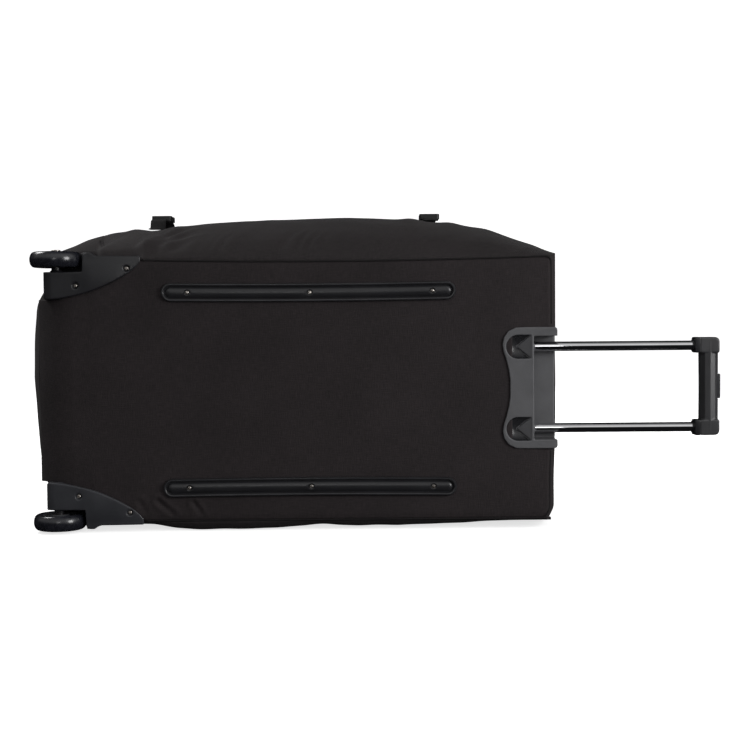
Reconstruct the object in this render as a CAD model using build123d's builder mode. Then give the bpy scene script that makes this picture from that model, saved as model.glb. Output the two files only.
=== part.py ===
"""Rolling duffel bag, lying on its long side with its pull handle drawn out.

Millimetres. The bag's own coordinates, used throughout, are:
    x  along the bag, 0 at the wheel end and BODY_LENGTH at the handle end
    y  depth, 0 at the outer face of the back panel, growing towards the lid
    z  height from the mid-plane that the two wheels mirror about
The functions at(), back_view(), end_view() and top_view() turn them into the frame, whose
origin is on the floor under the middle of the bag's box: +X towards the pull handle, +Y
towards the lid, +Z up.
"""

import os

from build123d import *

os.makedirs("parts", exist_ok=True)

# --- driving dimensions -------------------------------------------------------------------
ORIGIN_X = 497.0  # frame origin, from the wheel end
ORIGIN_Y = 164.5  # frame origin, from the back panel's face
MID_HEIGHT = 218.0  # the mid-plane's height above the floor

BODY_LENGTH = 783.0
BODY_DEPTH = 330.0
SEAM = 200.5  # half of the back panel's height, seam to seam
FABRIC = 5.0  # padded fabric wall
GAP = 0.3  # space kept between soft pieces

WHEEL_R = 40.0
WHEEL_W = 24.0
WHEEL_X = 17.0
WHEEL_Y = 12.0
WHEEL_Z = 202.0
BEARING_R = 11.0
BEARING_W = 7.0
AXLE_R = 4.0

TUBE_Z = 63.0
TUBE_Y = 16.0
OUTER_R = 9.0
OUTER_BORE_R = 8.2
INNER_R = 7.4
INNER_BORE_R = 6.5
STEP_X = 750.0  # wall of the bezel that the tubes come out of

GRIP_START = 997.0
GRIP_END = 1037.0
GRIP_HALF = 75.0

RAIL_START = 180.0
RAIL_LENGTH = 451.0
RAIL_W = 28.5
RAIL_Z = 150.5
RIVETS_X = (220.0, 407.5, 595.0)
RIVET_R = 2.0

FACE_LENGTH = 786.0  # the front face's sewn border
FACE_HEIGHT = 412.0
FACE_CORNER = 42.0
FACE_MID = (BODY_LENGTH / 2, 1.0)  # its middle, (x, z)

LID_LOW, LID_HIGH = -164.0, 177.5  # the lid's edges, from the mid-plane
LID_START, LID_END = 59.0, 724.0
LID_CORNER = 60.0
ZIP_W = 4.3  # one half of the zip
ZIP_GAP = 0.4

WEBBING = 25.0
BUCKLE_Z = 274.0
BUCKLE_START = 185.0  # the buckle's female half begins here, in y
STRAPS = {"left": 152.0, "right": 599.0}  # x of each compression strap


# --- places -------------------------------------------------------------------------------
def at(x, y, z):
    """A point given in the bag's own coordinates."""
    return Vector(x - ORIGIN_X, y - ORIGIN_Y, z + MID_HEIGHT)


def back_view(y):
    """Sketch plane facing out of the back: local x along the bag, local y up."""
    return Plane(origin=at(0, y, 0), x_dir=(1, 0, 0), z_dir=(0, -1, 0))


def end_view(x):
    """Sketch plane across the bag: local x is depth, local y is up, normal towards the handle."""
    return Plane(origin=at(x, 0, 0), x_dir=(0, 1, 0), z_dir=(1, 0, 0))


def top_view(z):
    """Sketch plane seen from above: local x along the bag, local y is depth."""
    return Plane(origin=at(0, 0, z), x_dir=(1, 0, 0), z_dir=(0, 0, 1))


MID_PLANE = top_view(0)
FROM_BASE = (Align.CENTER, Align.CENTER, Align.MIN)


def save(part, name):
    """Labels a finished piece and writes it."""
    part.label = name
    export_step(part, f"parts/{name}.step")


def save_pair(part, name):
    """Writes the upper piece and its mirror image on the lower side."""
    save(part, f"{name}_upper")
    save(mirror(part, about=MID_PLANE), f"{name}_lower")


def both_sides(part):
    """One node holding the upper piece and its mirror image."""
    return Compound(children=[part, mirror(part, about=MID_PLANE)])


# --- the soft body's outer shape ----------------------------------------------------------
# Height of the upper side's crest above the seam, along the bag.
CREST = (
    (-45, 8), (-14, 20), (53, 44), (124, 56), (300, 70),
    (467, 73), (599, 68.5), (690, 52), (765, 26), (789, 12),
)
# The wheel end seen from above: it curves round from the back panel and swells.
WHEEL_END = [(29.5, 0), (6, 5), (-14, 30), (-38, 90), (-45, 150), (-34, 250), (-11, 324)]
# Share of that height reached at each depth.
SWELL = ((FABRIC, 0.08), (60, 0.72), (150, 1.0), (240, 0.84), (BODY_DEPTH - FABRIC - 0.5, 0.3))


def between(table, value):
    """Straight-line reading of a table of pairs."""
    for (a, fa), (b, fb) in zip(table, table[1:]):
        if value <= b:
            return fa + (fb - fa) * (value - a) / (b - a)
    return table[-1][1]


def top_of_bag(x, y):
    """Height of the upper side's outer face."""
    return SEAM + between(CREST, x) * between(SWELL, y)


# --- soft panels --------------------------------------------------------------------------
HOUSING_BOX_X = 66.0
HOUSING_BOX_Y = 61.0
HOUSING_BOX_Z = 140.0
BEZEL_CUT_X = 708.0
BEZEL_CUT_Z = 84.0


def cut_corner_pockets():
    """Takes the room of both wheel housings out of the part being built."""
    size_z = 100.0
    beyond_x, beyond_y = 60.0, 20.0
    for side in (1, -1):
        middle_z = side * (HOUSING_BOX_Z + size_z / 2)
        with Locations(at((HOUSING_BOX_X - beyond_x) / 2, (HOUSING_BOX_Y - beyond_y) / 2, middle_z)):
            Box(HOUSING_BOX_X + beyond_x, HOUSING_BOX_Y + beyond_y, size_z, mode=Mode.SUBTRACT)


def trim_to_wheel_end():
    """Ends the part being built at the wheel-end panel's outer face."""
    with BuildSketch(top_view(-300)) as plan:
        with BuildLine():
            Spline(WHEEL_END)
            first, last = WHEEL_END[0], WHEEL_END[-1]
            Polyline(last, (last[0], 340), (900, 340), (900, -20), (first[0], -20), first)
        make_face()
    extrude(plan.sketch, amount=600, mode=Mode.INTERSECT)


def cut_bezel_window(height=BEZEL_CUT_Z):
    """Takes the room of the handle bezel and its tray out of the part being built."""
    length, depth = 120.0, 80.0
    with Locations(at(BEZEL_CUT_X + length / 2, 35 - depth / 2, 0)):
        Box(length, depth, 2 * height, mode=Mode.SUBTRACT)


def through_holes(points, radius):
    """Holes right through in y, at points (x, z) on both sides of the mid-plane."""
    for x, z in points:
        for side in (1, -1):
            with Locations(Plane(at(x, 0, side * z), z_dir=(0, 1, 0))):
                Cylinder(radius, 200, mode=Mode.SUBTRACT)


RIVET_POINTS = [(x, RAIL_Z) for x in RIVETS_X]
TIP_SCREW = (127.5, 187.5)
BLOCK_SCREW = (49.5, 161.5)
SHANK_CLEARANCE = 0.15

with BuildPart() as back_panel:
    with BuildSketch(back_view(0)):
        with Locations(((30 + BODY_LENGTH) / 2, 0)):
            Rectangle(BODY_LENGTH - 30, 2 * SEAM)
    extrude(amount=-(FABRIC - 0.8))
    fillet(back_panel.edges().filter_by(Axis.Y).group_by(Axis.X)[-1], 11)
    cut_corner_pockets()
    cut_bezel_window()
    through_holes(RIVET_POINTS + [TIP_SCREW], RIVET_R + SHANK_CLEARANCE)
save(back_panel.part, "back_panel")

BOARD_Y = FABRIC - 0.5
BOARD_T = 2.5
with BuildPart() as back_board:
    with BuildSketch(back_view(BOARD_Y)):
        with Locations((410, 0)):
            Rectangle(720, 380)
    extrude(amount=-BOARD_T)
    fillet(back_board.edges().filter_by(Axis.Y), 12)
    cut_corner_pockets()
    cut_bezel_window()
    through_holes(RIVET_POINTS + [TIP_SCREW], RIVET_R + SHANK_CLEARANCE)
save(back_board.part, "back_board")

with BuildPart() as upper_side_panel:
    for y, share in SWELL:
        with BuildSketch(back_view(y)):
            with BuildLine():
                outer = Spline([(x, SEAM + rise * share) for x, rise in CREST])
                inner = Spline([(x, SEAM + rise * share - FABRIC) for x, rise in reversed(CREST)])
                Line(outer @ 1, inner @ 0)
                Line(inner @ 1, outer @ 0)
            make_face()
    loft(ruled=True)
    trim_to_wheel_end()
    cut_corner_pockets()
save(upper_side_panel.part, "upper_side_panel")

SIDE_START, SIDE_END = -45.0, 789.0
with BuildPart() as lower_side_panel:
    with BuildSketch(end_view(SIDE_START)):
        with BuildLine():
            floor = -MID_HEIGHT
            outside = [(FABRIC, -SEAM), (14, -211), (38, floor), (290, floor), (312, -212), (324.5, -205)]
            inside = [(324.5, -199), (311, -206.5), (289, -213), (39, -213), (17, -206.5), (FABRIC, -194.5)]
            Polyline(outside + inside, close=True)
        make_face()
    extrude(amount=SIDE_END - SIDE_START)
    trim_to_wheel_end()
    cut_corner_pockets()
save(lower_side_panel.part, "lower_side_panel")


def section_fill(x, length, crest):
    """Keeps only what lies inside the bag's cross-section, clear of the side panels."""
    with BuildSketch(end_view(x)) as fill:
        with BuildLine():
            Polyline(
                (FABRIC + 0.5, -193.5), (40, -212.5), (288, -212.5), (324, -198.5),
                (324, 194.5 + 0.3 * crest), (240, 194 + 0.84 * crest), (150, 194 + crest),
                (60, 194 + 0.72 * crest), (FABRIC + 0.5, 194), close=True,
            )
        make_face()
    extrude(fill.sketch, amount=length, mode=Mode.INTERSECT)


WALL_TALL = 520.0
with BuildPart() as wheel_end_panel:
    with BuildSketch(top_view(-WALL_TALL / 2)):
        with BuildLine():
            outer = Spline(WHEEL_END)
            inside = [(-6, 324), (-29, 250), (-40, 150), (-33, 91), (-9, 33), (9, 10), (29.5, FABRIC - 0.8)]
            inner = Spline(inside)
            Line(outer @ 1, inner @ 0)
            Line(inner @ 1, outer @ 0)
        make_face()
    extrude(amount=WALL_TALL)
    with BuildSketch(end_view(-60)):
        with BuildLine():
            Polyline(
                (-2, -193.5), (7, -193.5), (40, -212.5), (288, -212.5), (324, -198.5), (324, 197), (240, 202),
                (150, 202), (60, 198), (12, 196), (7, 193.5), (-2, 193.5), close=True,
            )
        make_face()
    extrude(amount=110, mode=Mode.INTERSECT)
    cut_corner_pockets()
save(wheel_end_panel.part, "wheel_end_panel")

HANDLE_END = [(BODY_LENGTH, FABRIC), (789, 60), (793, 165), (787, 324)]
with BuildPart() as handle_end_panel:
    with BuildSketch(top_view(-WALL_TALL / 2)):
        with BuildLine():
            outer = Spline(HANDLE_END)
            inner = Spline([(x - FABRIC, y) for x, y in reversed(HANDLE_END)])
            Line(outer @ 1, inner @ 0)
            Line(inner @ 1, outer @ 0)
        make_face()
    extrude(amount=WALL_TALL)
    section_fill(760, 60, 8)
    cut_bezel_window()
save(handle_end_panel.part, "handle_end_panel")

# --- front: frame panel, lid and zip --------------------------------------------------------
OPENING = 2 * ZIP_W + ZIP_GAP  # from the lid's edge to the frame's


def front_outline(grow, top, corner):
    """Sketch of a lid-like outline: rounded low corners, square at the fold."""
    low = LID_LOW - grow
    start, end = LID_START - grow, LID_END + grow
    with BuildLine() as edge:
        Line((start, top), (start, low + corner))
        RadiusArc((start, low + corner), (start + corner, low), -corner)
        Line((start + corner, low), (end - corner, low))
        RadiusArc((end - corner, low), (end, low + corner), -corner)
        Line((end, low + corner), (end, top))
        Line((end, top), (start, top))
    make_face(edge.edges())


FRAME_TOP = 178.2
FRAME_Y = BODY_DEPTH - FABRIC
with BuildPart() as front_frame_panel:
    with BuildSketch(back_view(FRAME_Y)) as frame_sketch:
        with Locations(FACE_MID):
            RectangleRounded(FACE_LENGTH, FACE_HEIGHT, FACE_CORNER)
    extrude(amount=-FABRIC)
    with BuildSketch(back_view(FRAME_Y - 1)):
        front_outline(OPENING, FRAME_TOP, LID_CORNER + OPENING)
    extrude(amount=-FABRIC - 2, mode=Mode.SUBTRACT)
save(front_frame_panel.part, "front_frame_panel")

LID_Y = 326.0
LID_T = 6.0
with BuildPart() as lid_panel:
    with BuildSketch(back_view(LID_Y)):
        front_outline(0, LID_HIGH, LID_CORNER)
    extrude(amount=-LID_T)
save(lid_panel.part, "lid_panel")

ZIP_Y = 328.0
ZIP_T = 3.0


def zip_strip(near, far):
    """Half of the main zip: a strip round the lid's three free edges, from near to far outside it."""
    with BuildSketch(back_view(ZIP_Y)) as outer:
        front_outline(far, LID_HIGH - 4, LID_CORNER + far)
    extrude(outer.sketch, amount=-ZIP_T)
    with BuildSketch(back_view(ZIP_Y - 1)) as inner:
        front_outline(near, LID_HIGH, LID_CORNER + near)
    extrude(inner.sketch, amount=-ZIP_T - 2, mode=Mode.SUBTRACT)


with BuildPart() as zip_half_lid:
    zip_strip(0.05, ZIP_W)
save(zip_half_lid.part, "zip_half_lid")

with BuildPart() as zip_half_frame:
    zip_strip(ZIP_W + ZIP_GAP, OPENING - 0.05)
save(zip_half_frame.part, "zip_half_frame")

POCKET_T = 18.0
POCKET_Y = LID_Y + LID_T + 0.2
POCKET_LENGTH, POCKET_HEIGHT, POCKET_CORNER = 560.0, 262.0, 50.0
POCKET_RIM = 13.0
POCKET_FACE_T = 3.0
POCKET_MID = ((LID_START + LID_END) / 2, 0)
with BuildPart() as lid_pocket:
    with BuildSketch(back_view(POCKET_Y)):
        with Locations(POCKET_MID):
            RectangleRounded(POCKET_LENGTH, POCKET_HEIGHT, POCKET_CORNER)
    extrude(amount=-POCKET_T)
    fillet(lid_pocket.faces().sort_by(Axis.Y)[-1].edges(), 12)
    with BuildSketch(back_view(POCKET_Y)):
        with Locations(POCKET_MID):
            inner_length, inner_height = POCKET_LENGTH - 2 * POCKET_RIM, POCKET_HEIGHT - 2 * POCKET_RIM
            RectangleRounded(inner_length, inner_height, POCKET_CORNER - POCKET_RIM)
    extrude(amount=-(POCKET_T - POCKET_FACE_T), mode=Mode.SUBTRACT)
save(lid_pocket.part, "lid_pocket")

PIPING_R = 2.0
BACK_PIPE_Z = SEAM + PIPING_R + GAP
BACK_PIPE_X = BODY_LENGTH + PIPING_R + GAP
BACK_PIPE_Y = 2.2
BACK_PIPE_START = at(152, BACK_PIPE_Y, BACK_PIPE_Z)
with BuildPart() as back_piping:
    with BuildLine() as pipe_path:
        corner = at(BACK_PIPE_X, BACK_PIPE_Y, BACK_PIPE_Z)
        FilletPolyline(BACK_PIPE_START, corner, at(BACK_PIPE_X, BACK_PIPE_Y, 97), radius=12)
    with BuildSketch(Plane(BACK_PIPE_START, x_dir=(0, 1, 0), z_dir=(1, 0, 0))):
        Circle(PIPING_R)
    sweep()
save(both_sides(back_piping.part), "back_piping")

FRONT_PIPE_X = FACE_LENGTH / 2 + PIPING_R + GAP
FRONT_PIPE_Z = FACE_HEIGHT / 2 + PIPING_R + GAP
with BuildPart() as front_piping:
    corners = [
        at(FACE_MID[0] + side_x * FRONT_PIPE_X, 327.5, FACE_MID[1] + side_z * FRONT_PIPE_Z)
        for side_x, side_z in ((1, 1), (1, -1), (-1, -1), (-1, 1))
    ]
    with BuildLine():
        ring = FilletPolyline(*corners, radius=FACE_CORNER + PIPING_R, close=True)
    with BuildSketch(Plane(ring @ 0, z_dir=ring % 0)):
        Circle(PIPING_R)
    sweep()
save(front_piping.part, "front_piping")

# --- wheel housings -------------------------------------------------------------------------
PLATE_T = 5.0
HOUSING_IN = 140.2
WELL_FLOOR = 183.0
WELL_R = 42.5
POCKET_WALL = 216.0

with BuildPart() as wheel_housing:
    with BuildSketch(back_view(0)):
        with BuildLine():
            Polyline((-1, WELL_FLOOR), (-1, 144), (3, HOUSING_IN), (52, HOUSING_IN))
            tongue = [(52, HOUSING_IN), (90, 150), (113, 167), (138, 184), (147, 195), (148, 207)]
            Spline(tongue, tangents=((1, 0), (0, 1)))
            Line((148, 207), (84, 207))
            Spline((84, 207), (70, 212.5), (59.5, 209), tangents=((-1, 0), (-1, -1)))
            Polyline((59.5, 209), (59.5, WELL_FLOOR), (-1, WELL_FLOOR))
        make_face()
    extrude(amount=PLATE_T)
    chamfer(wheel_housing.faces().sort_by(Axis.Y)[0].edges(), 1)
    with Locations(at(32.2, 29.85, (HOUSING_IN + POCKET_WALL) / 2)):
        Box(67, 61.7, POCKET_WALL - HOUSING_IN)
    with Locations(at(32.5, 33, (144 + 178.5) / 2)):
        Box(58, 66, 34.5, mode=Mode.SUBTRACT)
    with Locations(at(BLOCK_SCREW[0], 2, BLOCK_SCREW[1])):
        Box(12, 8, 12)
    with Locations(at(WHEEL_X, WHEEL_Y, WELL_FLOOR + 30)):
        Cylinder(WELL_R, 60, mode=Mode.SUBTRACT)
    with Locations(at(WHEEL_X - 50, WHEEL_Y - 50 + WELL_R, WELL_FLOOR + 30)):
        Box(100, 100, 60, mode=Mode.SUBTRACT)
    with Locations(at(WHEEL_X - 50 + WELL_R, WHEEL_Y - 50, WELL_FLOOR + 30)):
        Box(100, 100, 60, mode=Mode.SUBTRACT)
    with Locations(at(WHEEL_X, WHEEL_Y, 170)):
        Cylinder(AXLE_R + 0.1, 60, mode=Mode.SUBTRACT)
    for x, z in (TIP_SCREW, BLOCK_SCREW):
        with Locations(Plane(at(x, -2, z), z_dir=(0, 1, 0))):
            Cylinder(RIVET_R + SHANK_CLEARANCE, 40, mode=Mode.SUBTRACT)
save_pair(wheel_housing.part, "wheel_housing")


# --- wheels ---------------------------------------------------------------------------------
HUB_R = 27.0
RIM_W = 20.0

with BuildPart() as tyre:
    with Locations(at(WHEEL_X, WHEEL_Y, WHEEL_Z)):
        Cylinder(WHEEL_R, WHEEL_W)
        fillet(tyre.edges().filter_by(GeomType.CIRCLE), 6)
        Cylinder(HUB_R + 0.05, WHEEL_W, mode=Mode.SUBTRACT)
save_pair(tyre.part, "tyre")

with BuildPart() as hub:
    with Locations(at(WHEEL_X, WHEEL_Y, WHEEL_Z)):
        Cylinder(HUB_R, RIM_W)
        Cylinder(BEARING_R + 3, WHEEL_W - 1)
        Cylinder(BEARING_R + 0.05, WHEEL_W, mode=Mode.SUBTRACT)
        with PolarLocations(20.5, 6):
            Cylinder(3.6, WHEEL_W, mode=Mode.SUBTRACT)
save_pair(hub.part, "wheel_hub")

BEARING_OFFSET = (WHEEL_W - 1 - BEARING_W) / 2
with BuildPart() as bearings:
    for side in (1, -1):
        with Locations(at(WHEEL_X, WHEEL_Y, WHEEL_Z + side * BEARING_OFFSET)):
            Cylinder(BEARING_R, BEARING_W)
            Cylinder(AXLE_R + 0.3, BEARING_W, mode=Mode.SUBTRACT)
save_pair(bearings.part, "wheel_bearings")

HEAD_BASE = WHEEL_Z + WHEEL_W / 2 + 0.4
with BuildPart() as axle:
    with Locations(at(WHEEL_X, WHEEL_Y, (160 + HEAD_BASE) / 2)):
        Cylinder(AXLE_R, HEAD_BASE - 160)
    with Locations(at(WHEEL_X, WHEEL_Y, HEAD_BASE + 1.4)):
        Cylinder(7, 2.8)
    fillet(axle.faces().sort_by(Axis.Z)[-1].edges(), 1.2)
save(both_sides(axle.part), "wheel_axles")

with BuildPart() as axle_nut:
    with BuildSketch(top_view(170.5)):
        with Locations((WHEEL_X, WHEEL_Y)):
            RegularPolygon(7.5, 6)
            Circle(AXLE_R + 0.02, mode=Mode.SUBTRACT)
    extrude(amount=8)
save(both_sides(axle_nut.part), "axle_nuts")

SPACER_END = WHEEL_Z - (WHEEL_W - 1) / 2 - 0.3
with BuildPart() as axle_spacer:
    with Locations(at(WHEEL_X, WHEEL_Y, (WELL_FLOOR + SPACER_END) / 2)):
        Cylinder(6.5, SPACER_END - WELL_FLOOR)
        Cylinder(AXLE_R + 0.02, 20, mode=Mode.SUBTRACT)
save(both_sides(axle_spacer.part), "axle_spacers")

# --- skid rails and their screws ------------------------------------------------------------
RAIL_T = 7.0
RAIL_MID = (RAIL_START + RAIL_LENGTH / 2, RAIL_Z)
with BuildPart() as skid_rail:
    with BuildSketch(back_view(0)):
        with Locations(RAIL_MID):
            SlotOverall(RAIL_LENGTH, RAIL_W)
    extrude(amount=RAIL_T)
    fillet(skid_rail.faces().sort_by(Axis.Y)[0].edges(), 2)
    with BuildSketch(back_view(-3)):
        with Locations(RAIL_MID):
            SlotOverall(RAIL_LENGTH - 9, RAIL_W - 9)
            SlotOverall(RAIL_LENGTH - 16, RAIL_W - 16, mode=Mode.SUBTRACT)
    extrude(amount=10, mode=Mode.SUBTRACT)
    for x, z in RIVET_POINTS:
        with Locations(Plane(at(x, 0, z), z_dir=(0, 1, 0))):
            Cylinder(RIVET_R + SHANK_CLEARANCE, 30, mode=Mode.SUBTRACT)
save_pair(skid_rail.part, "skid_rail")


def screws(points, seat, tip):
    """Pan-head screws at points, upper and lower, with heads on depth `seat` and ends at depth `tip`."""
    shapes = []
    for x, z in points:
        for side in (1, -1):
            with BuildPart() as screw:
                with Locations(Plane(at(x, seat, side * z), z_dir=(0, -1, 0))):
                    Cylinder(4.6, 2.4, align=FROM_BASE)
                fillet(screw.faces().sort_by(Axis.Y)[0].edges(), 1.4)
                with Locations(Plane(at(x, seat, side * z), z_dir=(0, 1, 0))):
                    Cylinder(RIVET_R, tip - seat, align=FROM_BASE)
            shapes.append(screw.part)
    return Compound(children=shapes)


def nuts(points):
    """Flanged nuts on the inside of the board."""
    shapes = []
    for x, z in points:
        for side in (1, -1):
            with BuildPart() as nut:
                with Locations(Plane(at(x, BOARD_Y + BOARD_T, side * z), z_dir=(0, 1, 0))):
                    Cylinder(5.5, 1, align=FROM_BASE)
                    Cylinder(3.6, 4, align=FROM_BASE)
                    Cylinder(RIVET_R + 0.02, 10, mode=Mode.SUBTRACT)
            shapes.append(nut.part)
    return Compound(children=shapes)


SCREW_TIP = 12.0
save(screws(RIVET_POINTS, -RAIL_T, SCREW_TIP), "rail_screws")
save(screws([TIP_SCREW, BLOCK_SCREW], -PLATE_T, SCREW_TIP), "housing_screws")
save(nuts(RIVET_POINTS + [TIP_SCREW]), "board_nuts")

# --- pull handle: what stays in the bag -----------------------------------------------------
BEZEL_END = 786.0
BEZEL_HALF = 93.0
BEZEL_T = 5.0
BEZEL_EDGE = [  # its waisted wheel-side edge, (x, z)
    (716, BEZEL_HALF), (702, 80), (702, 64), (713.5, 30),
    (713.5, -30), (702, -64), (702, -80), (716, -BEZEL_HALF),
]
TRAY_START = 708.3
TRAY_HALF = 83.6
TRAY_Y = 35.0
RECESS_HALF = 80.0
RECESS_Y = 31.5
CUP_X = 729.0
CUP_END = 746.0
CUP_Y = 12.0
CUP_R = 18.5
CONE_L = 30.0

with BuildPart() as handle_bezel:
    with BuildSketch(back_view(0)) as bezel_outline:
        with BuildLine():
            Polyline([(BEZEL_END, BEZEL_HALF)] + BEZEL_EDGE + [(BEZEL_END, -BEZEL_HALF)], close=True)
        make_face()
        fillet(bezel_outline.vertices().sort_by(Axis.X)[:-2], 7)
    extrude(amount=BEZEL_T)
    chamfer(handle_bezel.faces().sort_by(Axis.Y)[0].edges(), 1.2)
    with Locations(at((TRAY_START + BEZEL_END) / 2, TRAY_Y / 2, 0)):
        Box(BEZEL_END - TRAY_START, TRAY_Y, 2 * TRAY_HALF)
    with Locations(at(STEP_X + 25, RECESS_Y - 25, 0)):
        Box(50, 50, 2 * RECESS_HALF, mode=Mode.SUBTRACT)
    for side in (1, -1):
        with Locations(Plane(at(CUP_X, CUP_Y, side * TUBE_Z), z_dir=(0, -1, 0))):
            Cylinder(CUP_R, 30, align=FROM_BASE, mode=Mode.SUBTRACT)
        with Locations(at((CUP_X + CUP_END) / 2, CUP_Y - 15, side * TUBE_Z)):
            Box(CUP_END - CUP_X, 30, 2 * CUP_R, mode=Mode.SUBTRACT)
        with Locations(Plane(at(STEP_X, TUBE_Y, side * TUBE_Z), z_dir=(-1, 0, 0))):
            Cone(13, 1, CONE_L, align=FROM_BASE)
            Cylinder(OUTER_R + 0.05, 60, align=FROM_BASE, mode=Mode.SUBTRACT)
save(handle_bezel.part, "handle_bezel")

FOOT_X = 430.0


def tube(start, end, radius, bore):
    """A round tube on the upper tube line."""
    with BuildPart() as made:
        with Locations(Plane(at(start, TUBE_Y, TUBE_Z), z_dir=(1, 0, 0))):
            Cylinder(radius, end - start, align=FROM_BASE)
            Cylinder(bore, end - start, align=FROM_BASE, mode=Mode.SUBTRACT)
    return made.part


save(both_sides(tube(FOOT_X, STEP_X - 0.5, OUTER_R, OUTER_BORE_R)), "outer_tubes")
save(both_sides(tube(STEP_X - 24, STEP_X - 0.6, OUTER_BORE_R - 0.05, INNER_R + 0.3)), "tube_bushings")

with BuildPart() as tube_foot:
    with Locations(at(FOOT_X + 3, BOARD_Y + BOARD_T + 10.7, 0)):
        Box(24, 21, 2 * TUBE_Z + 30)
    for side in (1, -1):
        with Locations(Plane(at(FOOT_X, TUBE_Y, side * TUBE_Z), z_dir=(1, 0, 0))):
            Cylinder(OUTER_R + 0.05, 20, align=FROM_BASE, mode=Mode.SUBTRACT)
save(tube_foot.part, "tube_foot")

# --- pull handle: what slides ---------------------------------------------------------------
INNER_START = 689.0
INNER_END = 1010.0
PIN_X = 700.0
ROD_END = 1016.0
PIN_R = 2.0

with BuildPart() as inner_tube:
    add(tube(INNER_START, INNER_END, INNER_R, INNER_BORE_R))
    with Locations(at(PIN_X, TUBE_Y, TUBE_Z + 6)):
        Cylinder(PIN_R + 0.3, 6, mode=Mode.SUBTRACT)
save(both_sides(inner_tube.part), "inner_tubes")

save(both_sides(tube(INNER_START - 4, INNER_START - 0.1, OUTER_BORE_R - 0.3, 3)), "tube_plugs")

GRIP_Y = 13.0  # half of the grip's thickness
BUTTON_HALF = 19.0


def grip_shell(side):
    """Half of the grip, split on the tubes' own plane; side -1 faces out of the bag's back."""
    with BuildPart() as made:
        with BuildSketch(back_view(TUBE_Y)) as outline:
            with BuildLine():
                Polyline(
                    (GRIP_START + 9, 49), (GRIP_START + 1, 51), (GRIP_START + 1, GRIP_HALF - 4),
                    (GRIP_START + 6, GRIP_HALF), (GRIP_END - 8, GRIP_HALF), (GRIP_END - 1, GRIP_HALF - 7),
                    (GRIP_END - 1, -GRIP_HALF + 7), (GRIP_END - 8, -GRIP_HALF), (GRIP_START + 6, -GRIP_HALF),
                    (GRIP_START + 1, -GRIP_HALF + 4), (GRIP_START + 1, -51), (GRIP_START + 9, -49),
                    close=True,
                )
            make_face()
        extrude(outline.sketch, amount=-side * GRIP_Y)
        fillet(made.faces().sort_by(Axis.Y)[-1 if side > 0 else 0].edges(), 5)
        with Locations(at(1017.15, TUBE_Y, 0)):
            Box(20.3, 14, 2 * (TUBE_Z + 5), mode=Mode.SUBTRACT)
        with Locations(at(1034, TUBE_Y, 0)):
            Box(14, 10, 2 * BUTTON_HALF + 0.8, mode=Mode.SUBTRACT)
        for z in (TUBE_Z, -TUBE_Z):
            with Locations(Plane(at(990, TUBE_Y, z), z_dir=(1, 0, 0))):
                Cylinder(INNER_R + 0.02, 25, align=FROM_BASE, mode=Mode.SUBTRACT)
        with Locations(at(GRIP_START, TUBE_Y, 0)):
            Box(120, 0.1, 200, mode=Mode.SUBTRACT)
    return made.part


save(grip_shell(-1), "grip_shell_back")
save(grip_shell(1), "grip_shell_front")
save(both_sides(tube(GRIP_START - 1.5, GRIP_START + 0.9, 9.5, INNER_R + 0.02)), "tube_collars")

with BuildPart() as push_button:
    with Locations(at(1031.3, TUBE_Y, 0)):
        Box(15.4, 9.2, 2 * BUTTON_HALF)
    fillet(push_button.faces().sort_by(Axis.X)[-1].edges(), 1.5)
    with Locations(at(1024.5, TUBE_Y, 0)):
        Box(5, 12, 2 * BUTTON_HALF)
save(push_button.part, "push_button")

with BuildPart() as crossbar:
    with Locations(at(1019, TUBE_Y, 0)):
        Box(6, 8, 2 * TUBE_Z + 6)
save(crossbar.part, "button_crossbar")

with BuildPart() as rod:
    with Locations(Plane(at(PIN_X + 6, TUBE_Y, TUBE_Z), z_dir=(1, 0, 0))):
        Cylinder(1.6, ROD_END - PIN_X - 6, align=FROM_BASE)
save(both_sides(rod.part), "push_rods")

with BuildPart() as spring:
    with BuildLine() as coil:
        Helix(1.0, 3.6, 2.6, center=at(1012.1, TUBE_Y, 20), direction=(1, 0, 0))
    with BuildSketch(Plane(coil.line @ 0, z_dir=coil.line % 0)):
        Circle(0.3)
    sweep()
save(both_sides(spring.part), "button_springs")

with BuildPart() as lock_pin:
    with Locations(at(PIN_X, TUBE_Y, TUBE_Z - 2)):
        Cylinder(PIN_R, INNER_R + 2.5, align=FROM_BASE)
save_pair(lock_pin.part, "lock_pin")

# --- compression straps ---------------------------------------------------------------------
STRAP_T = 1.6
STRAP_START, STRAP_END = 128.0, 322.0  # the depths it is sewn down at
STRAP_Z = BUCKLE_Z - 2.0
BUCKLE_W = 34.0
BUCKLE_H = 9.0


def webbing(x, points):
    """A flat strap over the upper side at `x`, its underside through points (depth, height)."""
    with BuildPart() as made:
        with BuildSketch(end_view(x - WEBBING / 2)) as profile:
            with BuildLine():
                Polyline(points + [(y, z + STRAP_T) for y, z in reversed(points)], close=True)
            make_face()
        extrude(profile.sketch, amount=WEBBING)
    return made.part


def strap_point(x, y, lift=2.0):
    """Where a strap's underside lies on the upper side."""
    edge = max(top_of_bag(x - WEBBING / 2, y), top_of_bag(x, y), top_of_bag(x + WEBBING / 2, y))
    return (y, edge + lift)


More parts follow.
